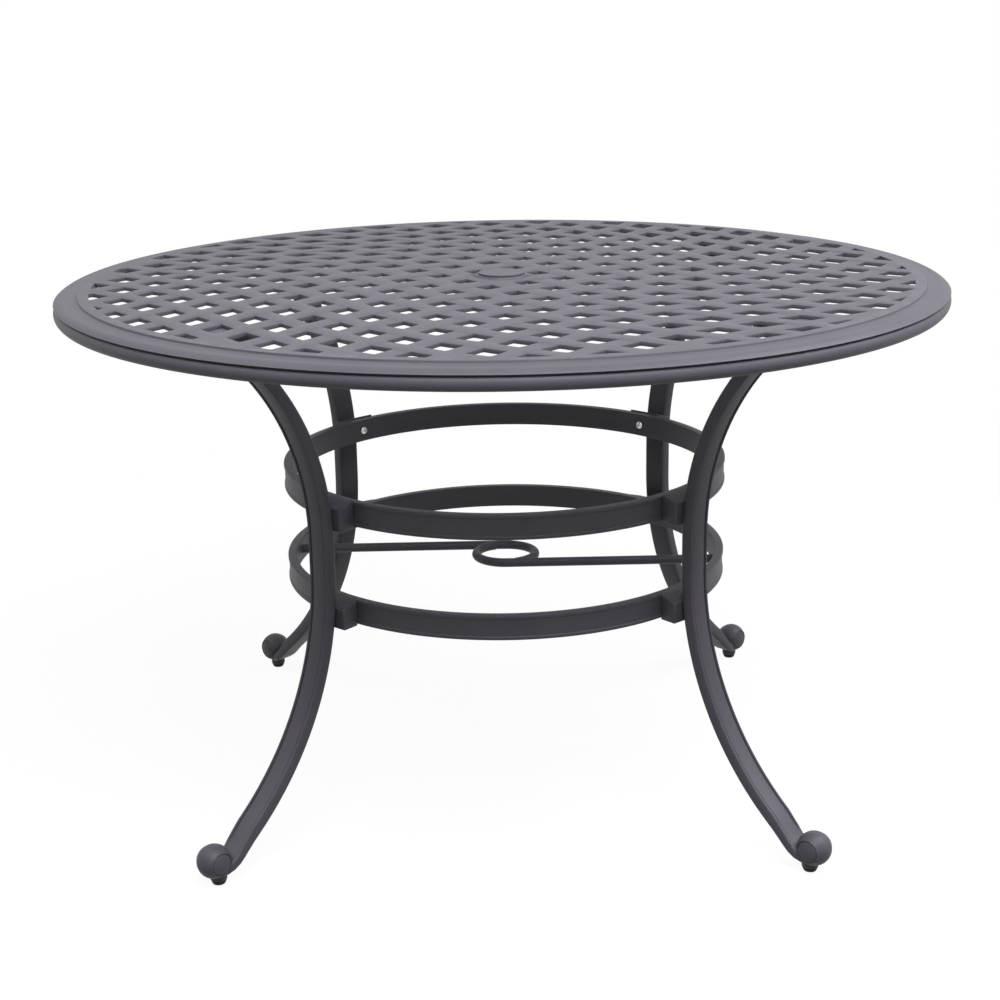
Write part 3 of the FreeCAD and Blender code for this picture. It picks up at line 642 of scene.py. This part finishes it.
def makeRim():
    # outline (radius, height) from the border over shelf, nose and roll to the web underneath
    face, under = lattice["face"], lattice["face"] - lattice["thickness"]
    lip, base = Vector(rim["lip"]), Vector(rim["rollBase"])
    half = (lip - base).length / 2
    rollBend = (half ** 2 + rim["rollSwell"] ** 2) / 2 / rim["rollSwell"]
    line = roundedLine([
        (rim["innerBorder"], face), (rim["border"], face, rim["borderRound"]),
        (*rim["crease"], rim["creaseRound"]), rim["shelfStart"]])
    line += arcPoints(rim["shelfEnd"], rim["nose"], -rim["noseBend"], rim["noseSteps"])
    line += arcPoints(lip, base, -rollBend, rim["rollSteps"])
    line += roundedLine([
        base, (rim["wall"], base.y, rim["wallRound"]),
        (rim["wall"], rim["webFoot"], rim["webRound"]), (rim["webEnd"], under, rim["webEndRound"])])[1:]
    line += [(rim["innerBorder"], under)]
    return spinPiece("rim", line, rim["steps"])


def makeTrim():
    inner, outer, low, high = (trim[key] for key in ("inner", "outer", "low", "high"))
    return spinPiece("trim", [(inner, low), (outer, low), (outer, high), (inner, high)], rim["steps"])


hub = {
    "outside": 0.0375, "shoulder": 0.7235, "lipOutside": 0.0366, "lipTop": 0.7253,
    "seat": 0.0272, "seatBase": 0.7114, "bore": 0.025,
    "boss": 0.033, "bossBase": 0.6919, "bossTop": 0.7179, "steps": 96,
    "rounds": (0.0006, 0.0015, 0.002, 0.0004, 0.0002, 0.0005, 0.0005, 0.0003, 0.0004)}


def makeHub():
    line = softLine(hub["rounds"], [
        (hub["bore"], hub["bossBase"]), (hub["boss"], hub["bossBase"]), (hub["boss"], hub["bossTop"]),
        (hub["outside"], hub["bossTop"]), (hub["outside"], hub["shoulder"]),
        (hub["lipOutside"], hub["lipTop"]), (hub["seat"], hub["lipTop"]),
        (hub["seat"], hub["seatBase"]), (hub["bore"], hub["seatBase"])])
    return spinPiece("hub", line, hub["steps"])


pads = {"radius": 0.4894, "length": 0.066, "width": 0.070, "base": 0.7064, "top": 0.7185, "round": 0.0015}


def roundedBlock(name, low, high, amount):
    middle = [(a + b) / 2 for a, b in zip(low, high)]
    size = [b - a for a, b in zip(low, high)]
    piece = addShape(name, bpy.ops.mesh.primitive_cube_add, size=1.0, location=middle, scale=size)
    settle(piece)
    applyModifier(piece, "BEVEL", width=amount, segments=bevelSteps, limit_method="ANGLE")
    return piece


def makePads():
    side, reach = pads["width"] / 2, pads["length"] / 2
    first = roundedBlock("legPad", (pads["radius"] - reach, -side, pads["base"]),
                         (pads["radius"] + reach, side, pads["top"]), pads["round"])
    return legCopies(first, ["legPad%d" % quarter for quarter in range(4)])


def booleanWith(piece, other, operation):
    applyModifier(piece, "BOOLEAN", operation=operation, object=other, solver="EXACT")
    deletePiece(other)


def makeTop():
    sheet = makeLattice()
    print("lattice woven:", len(sheet.data.polygons), "faces")
    # the sheet runs a little into the border ring and into the hub
    booleanWith(sheet, makeTrim(), "INTERSECT")
    booleanWith(sheet, makeRim(), "UNION")
    booleanWith(sheet, makeHub(), "UNION")
    casting = joinPieces("topCasting", [sheet] + makePads())
    dress(casting, charcoalCoat, "table", ["table_top"], angle=32.0)
    print("top cast:", len(casting.data.polygons), "faces")


makeTop()

cover = {
    "radius": 0.03225, "base": 0.7254, "crown": 0.7282, "bevel": 0.0008, "dish": 0.7279,
    "dishRadius": 0.02625, "skirt": 0.0268, "skirtInner": 0.0250, "skirtBase": 0.7144,
    "ceiling": 0.7258, "steps": 96,
    "rounds": (0.0, 0.001, 0.0004, 0.0006, 0.0003, 0.0004, 0.0003, 0.0003, 0.001, 0.0)}


def makeCover():
    line = softLine(cover["rounds"], [
        (0.0, cover["ceiling"]), (cover["skirtInner"], cover["ceiling"]),
        (cover["skirtInner"], cover["skirtBase"]), (cover["skirt"], cover["skirtBase"]),
        (cover["skirt"], cover["base"]), (cover["radius"], cover["base"]),
        (cover["radius"], cover["crown"] - cover["bevel"]),
        (cover["radius"] - cover["bevel"], cover["crown"]),
        (cover["dishRadius"], cover["dish"]), (0.0, cover["dish"])])
    piece = spinPiece("holeCover", line, cover["steps"], closed=False)
    dress(piece, charcoalCoat, "hole_cover", ["umbrella_hole_cover"])


makeCover()
print("hole cover made")


# Legs: one modelled along +X, then copied round the table

leg = {
    "waist": 0.3455, "depth": 0.0175, "width": 0.035, "waistBase": 0.370, "waistTop": 0.419,
    "upperBend": 0.35181, "upperSweep": 56.78, "upperSteps": 26,
    "lowerBend": 0.40485, "lowerSweep": 50.01, "lowerSteps": 28,
    "plateTop": 0.7063, "plateBase": 0.6993, "plateHalfLength": 0.030, "plateHalfWidth": 0.032,
    "plateRound": 0.0014, "cutTop": 0.7053,
    # section: crowned face, bead with its groove, rounded inner corners
    "faceMiddle": 0.0006, "faceEdge": 0.0016, "faceStops": (0.0, 0.3, 0.55, 0.8, 0.96),
    "bead": 0.0036, "beadZone": 0.0045, "grooveWidth": 0.0021, "inner": 0.004, "innerSteps": 5,
    # (below the outer face, past the bead's foot)
    "beadLine": ((0.0021, -0.0021), (0.0029, -0.0014), (0.0029, -0.0005), (0.0012, 0.0), (0.0003, 0.0005),
                 (0.0, 0.0014), (0.0003, 0.0023), (0.0010, 0.0030), (0.0022, 0.0036))}
foot = {
    "scroll": (0.5487, 0.033), "strap": 0.0227, "shoulder": 0.0154, "shoulderSteps": 10, "steps": 56,
    # disc on the side of the scroll, then the groove and the ridge round it: (radius, across)
    "discStart": (0.0001, 0.0192), "discEnd": (0.0134, 0.0167), "discBend": 0.0356, "discSteps": 12,
    "ridgeLine": [(0.0137, 0.0165), (0.0141, 0.0157), (0.0145, 0.0156), (0.0149, 0.0158),
                  (0.0153, 0.0167), (0.0157, 0.0168), (0.0161, 0.0166)],
    "glide": 0.543, "bossRadius": 0.011, "bossBase": 0.0058, "bossTop": 0.0218, "bossSteps": 40,
    "bossRounds": (0.0, 0.0012, 0.001, 0.0),
    "stations": [
        # under side, upper side (radius, height), share of the width, share of the beads
        ((0.4940, 0.0452), (0.5036, 0.0580), 1.0, 1.0), ((0.5030, 0.0367), (0.5125, 0.0488), 1.0, 0.8),
        ((0.5110, 0.0288), (0.5205, 0.0405), 1.0, 0.35), ((0.5185, 0.0224), (0.5280, 0.0340), 1.0, 0.0),
        ((0.5270, 0.0170), (0.5345, 0.0300), 0.95, 0.0), ((0.5360, 0.0130), (0.5410, 0.0270), 0.80, 0.0),
        ((0.5450, 0.0112), (0.5470, 0.0255), 0.60, 0.0), ((0.5510, 0.0135), (0.5520, 0.0240), 0.40, 0.0)]}
saddle = {
    "face": 0.3136, "root": 0.3385, "sweep": 10.0, "steps": 8, "margin": 0.0022, "fall": 0.0075,
    "round": 0.0012, "sharp": 60.0, "height": 0.0333,
    # height of each ring, and how far its saddle stands over it
    "places": ((0.4351, 0.0022), (0.2998, 0.0))}


def plainRise(across):
    # the crowned outer face of the leg above its middle plane, with rounded corners and no beads
    side, corner = leg["width"] / 2, leg["bead"]
    fall = (leg["faceEdge"] - leg["faceMiddle"]) * (abs(across) / (side - corner)) ** 2
    over = max(abs(across) - (side - corner), 0.0)
    return leg["depth"] / 2 - leg["faceMiddle"] - fall - corner + math.sqrt(max(corner ** 2 - over ** 2, 0.0))


def legSection():
    # from the middle of the outer face over the groove and the bead to the inner face: (radius, across)
    outer = leg["waist"] + leg["depth"] / 2
    inner = leg["waist"] - leg["depth"] / 2
    side, corner = leg["width"] / 2, leg["inner"]
    edge = side - leg["bead"]
    brink = edge - leg["grooveWidth"]
    fall = leg["faceEdge"] - leg["faceMiddle"]
    half = [(outer - leg["faceMiddle"] - fall * share ** 2, brink * share) for share in leg["faceStops"]]
    half += [(outer - below, edge + past) for below, past in leg["beadLine"]]
    for n in range(leg["innerSteps"] + 1):
        angle = math.radians(90 * n / leg["innerSteps"])
        half.append((inner + corner * (1 - math.sin(angle)), side - corner * (1 - math.cos(angle))))
    half.append((inner, 0.0))
    return half + [(x, -y) for x, y in reversed(half[1:-1])]


def makeShaft():
    # the section lies level at the top of the waist
    piece = drawLine("shaft", legSection())
    bpy.ops.transform.rotate(value=math.radians(90), orient_axis="X", center_override=(0, 0, 0))
    bpy.ops.transform.translate(value=(0, 0, leg["waistTop"]))
    settle(piece)
    editMode(piece)
    selectAll()
    # up along the upper bend
    bpy.ops.mesh.spin(
        steps=leg["upperSteps"], angle=math.radians(-leg["upperSweep"]), dupli=False,
        center=(leg["waist"] + leg["upperBend"], 0, leg["waistTop"]), axis=(0, 1, 0))
    # down the waist, and along the lower bend
    selectWhere(piece, "verts", lambda v: abs(v.co.z - leg["waistTop"]) < mergeGap / 2)
    extrudeBy(0, 0, leg["waistBase"] - leg["waistTop"])
    bpy.ops.mesh.spin(
        steps=leg["lowerSteps"], angle=math.radians(leg["lowerSweep"]), dupli=False,
        center=(leg["waist"] + leg["lowerBend"], 0, leg["waistBase"]), axis=(0, 1, 0))
    return piece


def spotKey(vertex):
    return tuple(round(c, 6) for c in vertex.co)


def makeAnkle(piece):
    # the end of the bend goes on from station to station under the scroll, while its beads run out
    slope = math.radians(leg["lowerSweep"])
    outward = Vector((math.cos(slope), 0, math.sin(slope)))
    bendCentre = Vector((leg["waist"] + leg["lowerBend"], 0, leg["waistBase"]))
    ankle = bendCentre - outward * leg["lowerBend"]
    mesh = bmesh.from_edit_mesh(piece.data)
    section = {spotKey(v): ((v.co - ankle).dot(outward), v.co.y) for v in mesh.verts if v.select}
    for low, high, width, beads in foot["stations"]:
        low, high = Vector((low[0], 0, low[1])), Vector((high[0], 0, high[1]))
        middle, across = (low + high) / 2, (high - low) / leg["depth"]
        extrudeBy(0, 0, 0)
        mesh = bmesh.from_edit_mesh(piece.data)
        moved = {}
        for vertex in [v for v in mesh.verts if v.select]:
            rise, side = section[spotKey(vertex)]
            level = rise
            if rise > leg["depth"] / 2 - leg["beadZone"]:
                level = rise * beads + plainRise(side) * (1 - beads)
            vertex.co = middle + across * level
            vertex.co.y = side * width
            moved[spotKey(vertex)] = (rise, side)
        bmesh.update_edit_mesh(piece.data)
        section = moved
    bpy.ops.mesh.edge_face_add()


def makeLeg():
    shaft = makeShaft()
    makeAnkle(shaft)
    # the top is trimmed level inside the plate
    selectAll()
    bpy.ops.mesh.bisect(plane_co=(0, 0, leg["cutTop"]), plane_no=(0, 0, 1), clear_outer=True, use_fill=True)
    closeUp(shaft)
    plate = roundedBlock(
        "plate", (pads["radius"] - leg["plateHalfLength"], -leg["plateHalfWidth"], leg["plateBase"]),
        (pads["radius"] + leg["plateHalfLength"], leg["plateHalfWidth"], leg["plateTop"]), leg["plateRound"])
    saddles = [makeSaddle(base, rise) for base, rise in saddle["places"]]
    return joinPieces("leg", [shaft, plate, makeScroll(), makeBoss()] + saddles)


def makeScroll():
    # half outline turned about the level axis through the scroll: (radius, across)
    strap = foot["strap"]
    half = [(0.0, foot["discStart"][1])]
    half += arcPoints(foot["discStart"], foot["discEnd"], -foot["discBend"], foot["discSteps"])
    half += foot["ridgeLine"]
    start = math.asin(foot["shoulder"] / strap)
    for n in range(foot["shoulderSteps"]):
        angle = start * (1 - n / foot["shoulderSteps"])
        half.append((strap * math.cos(angle), strap * math.sin(angle)))
    line = half + [(strap, 0.0)] + [(x, -y) for x, y in reversed(half)]
    piece = spinPiece("scrollBall", line, foot["steps"], closed=False)
    turnPiece(piece, x=90)
    movePiece(piece, (foot["scroll"][0], 0, foot["scroll"][1]))
    return piece


def makeBoss():
    base, top, radius = foot["bossBase"], foot["bossTop"], foot["bossRadius"]
    line = softLine(foot["bossRounds"], [(0.0, base), (radius, base), (radius, top), (0.0, top)])
    piece = spinPiece("boss", line, foot["bossSteps"], closed=False)
    movePiece(piece, (foot["glide"], 0, 0))
    return piece


def makeSaddle(base, rise):
    # a block swept along the ring's outer face, with its top falling towards the leg
    low, high = base - saddle["margin"], base + saddle["height"] + rise
    piece = drawLine("saddle", [
        (saddle["face"], low), (saddle["root"], low), (saddle["root"], high - saddle["fall"]),
        (saddle["face"], high)])
    sweep = math.radians(saddle["sweep"])
    bpy.ops.mesh.edge_face_add()
    selectAll()
    bpy.ops.transform.rotate(value=-sweep / 2, orient_axis="Z", center_override=(0, 0, 0))
    bpy.ops.mesh.spin(steps=saddle["steps"], angle=sweep, center=(0, 0, 0), axis=(0, 0, 1))
    settle(piece)
    closeUp(piece)
    applyModifier(piece, "BEVEL", width=saddle["round"], segments=bevelSteps, limit_method="ANGLE",
                  angle_limit=math.radians(saddle["sharp"]))
    return piece


def makeLegs():
    copies = legCopies(makeLeg(), [camelName(name) + "LegCasting" for name in legNames])
    for name, copy in zip(legNames, copies):
        dress(copy, charcoalCoat, "table", [name + "_leg"])


makeLegs()
print("legs made")


# Stretcher rings

ring = {
    "outside": 0.3135, "inside": 0.3010, "bead": 0.0040, "beadHeight": 0.0012, "beadSlope": 0.0012,
    "height": 0.0333, "bases": {"upper_ring": 0.4351, "lower_ring": 0.2998}, "steps": 240,
    "rounds": (0.001, 0.0011, 0.0009, 0.0009, 0.0009, 0.0009, 0.0011, 0.001)}


def makeRing(name, base):
    outside, inside, face = ring["outside"], ring["inside"], ring["outside"] - ring["beadHeight"]
    top, slope = base + ring["height"], ring["beadSlope"]
    line = softLine(ring["rounds"], [
        (inside, base), (outside, base), (outside, base + ring["bead"]),
        (face, base + ring["bead"] + slope), (face, top - ring["bead"] - slope),
        (outside, top - ring["bead"]), (outside, top), (inside, top)])
    piece = spinPiece(camelName(name) + "Casting", line, ring["steps"])
    dress(piece, charcoalCoat, "table", [name], angle=40.0)


for ringName, ringBase in ring["bases"].items():
    makeRing(ringName, ringBase)
print("rings made")


# Pole guide

rod = {
    "radius": 0.00635, "loop": 0.0425, "height": 0.31645, "start": 0.30095, "hook": 160.0,
    "sides": 24, "steps": 32}
weld = {"sink": 0.0005, "bend": 0.0042, "width": 0.0028, "bendSteps": 5, "steps": 36}


def makeRod(name, halfTurn):
    place = (-rod["start"], rod["loop"], rod["height"])
    piece = addShape(
        name, bpy.ops.mesh.primitive_circle_add, vertices=rod["sides"], radius=rod["radius"],
        fill_type="NOTHING", location=place, rotation=(0, math.radians(90), 0))
    settle(piece)
    editMode(piece)
    selectAll()
    extrudeBy(rod["start"], 0, 0)
    bpy.ops.mesh.spin(steps=rod["steps"], angle=math.radians(rod["hook"]), center=(0, 0, 0), axis=(0, 0, 1))
    bpy.ops.mesh.edge_face_add()
    selectWhere(piece, "verts", lambda v: v.co.x < mergeGap - rod["start"])
    bpy.ops.mesh.edge_face_add()
    closeUp(piece)
    piece = joinPieces(name, [piece, makeWeld(place)])
    turnPiece(piece, z=halfTurn)
    return piece


def makeWeld(place):
    # a low bead of weld round the rod where it meets the ring
    inner, outer = rod["radius"] - weld["sink"], rod["radius"] + weld["width"]
    line = [(inner, 0.0)] + arcPoints((inner, weld["bend"]), (outer, 0.0), weld["bend"], weld["bendSteps"])
    piece = spinPiece("weld", line, weld["steps"])
    turnPiece(piece, y=90)
    movePiece(piece, place)
    return piece


for rodSide, halfTurn in (("left", 0), ("right", 180)):
    dress(makeRod(rodSide + "GuideRod", halfTurn), rodCoat, "table", ["guide_rod_" + rodSide])
print("pole guide made")


# Bolts

ringBolt = {
    "seat": 0.3009, "head": 0.0059, "headHeight": 0.0033, "brim": 0.0006, "soft": 0.0003,
    "crown": 0.0034, "crownDrop": 0.0001, "dome": 0.0062, "domeSteps": 8, "steps": 36,
    "socket": 0.0046, "socketDepth": 0.0027, "shank": 0.0030, "length": 0.041, "chamfer": 0.0006,
    "heights": {"upper_ring_bolts": 0.45175, "lower_ring_bolts": 0.31645}}


def makeHexagon(flats, height, middle):
    # an upright block, so far across its flats
    piece = addShape("hexagon", bpy.ops.mesh.primitive_cylinder_add, vertices=6,
                     radius=flats / math.sqrt(3), depth=height, location=(0, 0, middle))
    settle(piece)
    return piece


def makeRingBolt():
    # turned about Z with its head up, then laid along the radius with the head inward
    head, crown, height = ringBolt["head"], ringBolt["crown"], ringBolt["headHeight"]
    shank, tip, chamfer = ringBolt["shank"], -ringBolt["length"], ringBolt["chamfer"]
    line = [(0.0, tip), (shank - chamfer, tip), (shank, tip + chamfer), (shank, 0.0),
            (head - ringBolt["soft"], 0.0)]
    line += arcPoints((head, ringBolt["brim"]), (crown, height - ringBolt["crownDrop"]),
                      ringBolt["dome"], ringBolt["domeSteps"])
    line += [(crown - ringBolt["soft"], height), (0.0, height)]
    piece = spinPiece("ringBolt", line, ringBolt["steps"], closed=False)
    booleanWith(piece, makeHexagon(ringBolt["socket"], 2 * ringBolt["socketDepth"], height), "DIFFERENCE")
    turnPiece(piece, y=-90)
    return piece


def makeRingBolts():
    first = makeRingBolt()
    for node, height in ringBolt["heights"].items():
        raised = copyPiece(first, node)
        movePiece(raised, (ringBolt["seat"], 0, height))
        copies = legCopies(raised, ["%s%d" % (node, quarter) for quarter in range(4)])
        piece = joinPieces(node.split("_")[0] + "RingButtonBolts", copies)
        dress(piece, stainless, "table", [node])
    deletePiece(first)


makeRingBolts()

legBolt = {
    "radius": 0.4894, "spacing": 0.046, "flats": 0.013, "head": 0.0053, "headBase": 0.6939,
    "chamferStart": 0.0061, "chamferEnd": 0.0081, "chamferHeight": 0.0012, "overlap": 0.001,
    "shank": 0.004, "tip": 0.0006, "top": 0.7152, "steps": 36, "shankSteps": 28}


def makeLegBolt():
    # a hexagon with its lower corners turned off, and the shank up into the pad
    base, height, overlap = legBolt["headBase"], legBolt["head"], legBolt["overlap"]
    head = makeHexagon(legBolt["flats"], height, base + height / 2)
    above, outer = base + height + overlap, legBolt["chamferEnd"]
    turned = spinPiece("turned", [
        (0.0, base), (legBolt["chamferStart"], base), (outer, base + legBolt["chamferHeight"]),
        (outer, above), (0.0, above)], legBolt["steps"], closed=False)
    booleanWith(head, turned, "INTERSECT")
    radius, low, top, tip = legBolt["shank"], base + height - overlap, legBolt["top"], legBolt["tip"]
    shank = spinPiece("shank", [
        (0.0, low), (radius, low), (radius, top - tip), (radius - tip, top), (0.0, top)],
        legBolt["shankSteps"], closed=False)
    return joinPieces("legBolt", [head, shank])


def makeLegBolts():
    first = makeLegBolt()
    copies = []
    for side in (-0.5, 0.5):
        moved = copyPiece(first, "legBolt")
        movePiece(moved, (legBolt["radius"], side * legBolt["spacing"], 0))
        copies += legCopies(moved, ["legBolt"] * 4)
    deletePiece(first)
    piece = joinPieces("legHexBolts", copies)
    dress(piece, zincPlate, "table", ["leg_bolts"], angle=28.0)


makeLegBolts()
print("bolts made")


# Levelling glides

glide = {
    "radius": 0.543, "sole": 0.008, "top": 0.010, "brim": 0.0043, "edge": 0.0096, "height": 0.0055,
    "socket": 0.0042, "socketBase": 0.0026, "steps": 48,
    "rounds": (0.0, 0.0012, 0.001, 0.0004, 0.0003, 0.0, 0.0)}


def makeGlides():
    line = softLine(glide["rounds"], [
        (0.0, 0.0), (glide["sole"], 0.0), (glide["top"], glide["brim"]), (glide["edge"], glide["height"]),
        (glide["socket"], glide["height"]), (glide["socket"], glide["socketBase"]),
        (0.0, glide["socketBase"])])
    first = spinPiece("glide", line, glide["steps"], closed=False)
    movePiece(first, (glide["radius"], 0, 0))
    copies = legCopies(first, [camelName(name) + "GlidePad" for name in legNames])
    for name, copy in zip(legNames, copies):
        dress(copy, blackPlastic, name + "_glide", [name + "_glide_pad"])
        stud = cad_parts[name + "_glide_stud"]
        for index in range(len(stud.data.materials)):
            stud.data.materials[index] = zincPlate


makeGlides()
print("glides made")


# Studio

studio = {
    "cameraPlace": (-0.0375, -2.5144, 1.1304), "lens": 65.42, "sensor": 36.0, "clipEnd": 100.0,
    "pitch": 16.248, "yaw": 0.694, "roll": -0.929,
    "floorSize": 60.0, "floorLevel": -0.0005, "floorMatt": 0.16, "floorSeen": 0.95,
    "skyLight": 0.03, "glowNear": 0.93, "shadowReach": (1.0, 2.4)}
coolWhite = (0.92, 0.93, 1.0)
lamps = {
    "topLamp": {"place": (0.0, -0.2, 3.2), "size": (6.0, 6.0), "power": 30, "target": (0, 0, 0)},
    "keyLamp": {"place": (0.4, -1.9, 3.2), "size": (2.4, 1.6), "power": 168, "target": (0, 0, 0.6),
                "colour": coolWhite},
    "frontLamp": {"place": (0.0, -4.2, 2.6), "size": (5.0, 1.8), "power": 24, "target": (0, 0, 0.7)},
    "rightLamp": {"place": (2.6, 0.0, 3.0), "size": (2.0, 2.0), "power": 120, "target": (0, 0, 0.2),
                  "colour": coolWhite},
    "leftLamp": {"place": (-2.6, 0.0, 3.0), "size": (2.0, 2.0), "power": 40, "target": (0, 0, 0.2)}}


def makeCamera():
    pitch, yaw, roll = (math.radians(studio[key]) for key in ("pitch", "yaw", "roll"))
    ahead = Vector((math.sin(yaw) * math.cos(pitch), math.cos(yaw) * math.cos(pitch), -math.sin(pitch)))
    right = Vector((math.cos(yaw), -math.sin(yaw), 0.0))
    up = right.cross(ahead)
    rolledRight = right * math.cos(roll) + up * math.sin(roll)
    rolledUp = up * math.cos(roll) - right * math.sin(roll)
    data = bpy.data.cameras.new("studioCamera")
    data.lens = studio["lens"]
    data.sensor_width = studio["sensor"]
    data.clip_end = studio["clipEnd"]
    camera = bpy.data.objects.new("studioCamera", data)
    bpy.context.scene.collection.objects.link(camera)
    turn = Matrix((rolledRight, rolledUp, -ahead)).transposed().to_4x4()
    camera.matrix_world = Matrix.Translation(studio["cameraPlace"]) @ turn
    bpy.context.scene.camera = camera


def paleRays(tree):
    # one for what the camera, a mirror or a glass sees, nothing for the light on the table
    link = linker(tree)
    path = addNode(tree, "ShaderNodeLightPath")
    first = addNode(tree, "ShaderNodeMath", operation="MAXIMUM")
    second = addNode(tree, "ShaderNodeMath", operation="MAXIMUM")
    link(path, "Is Camera Ray", first, 0)
    link(path, "Is Glossy Ray", first, 1)
    link(first, 0, second, 0)
    link(path, "Is Transmission Ray", second, 1)
    return second


def blendInto(tree, output, share, first, second):
    # the share tells how much of the second shader shows over the first
    link = linker(tree)
    blend, out = addNode(tree, "ShaderNodeMixShader"), addNode(tree, output)
    for entry, source in enumerate((share, first, second)):
        link(source, 0, blend, entry)
    link(blend, 0, out, "Surface")


def makeWorld():
    world = bpy.data.worlds.new("studioWorld")
    world.use_nodes = True
    bpy.context.scene.world = world
    tree = world.node_tree
    tree.nodes.clear()
    light = addNode(tree, "ShaderNodeBackground", {"Color": (1, 1, 1, 1), "Strength": studio["skyLight"]})
    seen = addNode(tree, "ShaderNodeBackground", {"Color": (1, 1, 1, 1), "Strength": 1.0})
    blendInto(tree, "ShaderNodeOutputWorld", paleRays(tree), light, seen)


def makeFloor():
    floor = addShape("studioFloor", bpy.ops.mesh.primitive_plane_add, size=studio["floorSize"],
                     location=(0, 0, studio["floorLevel"]))
    settle(floor)
    material = bpy.data.materials.new("studioFloor")
    material.use_nodes = True
    tree = material.node_tree
    tree.nodes.clear()
    link = linker(tree)
    # the shadow is kept near the table and fades out into plain white
    place = addNode(tree, "ShaderNodeTexCoord")
    reach = addNode(tree, "ShaderNodeVectorMath", operation="LENGTH")
    link(place, "Object", reach, 0)
    share = addNode(tree, "ShaderNodeMapRange", {
        "From Min": studio["shadowReach"][0], "From Max": studio["shadowReach"][1],
        "To Min": studio["glowNear"], "To Max": 1.0}, interpolation_type="SMOOTHSTEP")
    link(reach, "Value", share, "Value")
    seen = addNode(tree, "ShaderNodeMath", operation="MULTIPLY")
    link(paleRays(tree), 0, seen, 0)
    link(share, "Result", seen, 1)
    # paler where the camera sees it than where it lights the table
    path = addNode(tree, "ShaderNodeLightPath")
    tone = addNode(tree, "ShaderNodeMapRange", {"To Min": studio["floorMatt"], "To Max": studio["floorSeen"]})
    link(path, "Is Camera Ray", tone, "Value")
    matt = addNode(tree, "ShaderNodeBsdfDiffuse")
    link(tone, "Result", matt, "Color")
    glow = addNode(tree, "ShaderNodeEmission")
    blendInto(tree, "ShaderNodeOutputMaterial", seen, matt, glow)
    floor.data.materials.append(material)


def addLamp(name, place, size, power, target, colour=(1, 1, 1)):
    data = bpy.data.lights.new(name, "AREA")
    data.color = colour
    data.shape = "RECTANGLE"
    data.size, data.size_y = size
    data.energy = power
    lamp = bpy.data.objects.new(name, data)
    bpy.context.scene.collection.objects.link(lamp)
    lamp.location = place
    lamp.rotation_euler = (Vector(target) - Vector(place)).to_track_quat("-Z", "Y").to_euler()
    lamp.visible_camera = False


makeCamera()
makeWorld()
makeFloor()
for lampName, lamp in lamps.items():
    addLamp(lampName, **lamp)
bpy.context.scene.view_settings.view_transform = "Standard"
print("studio set")
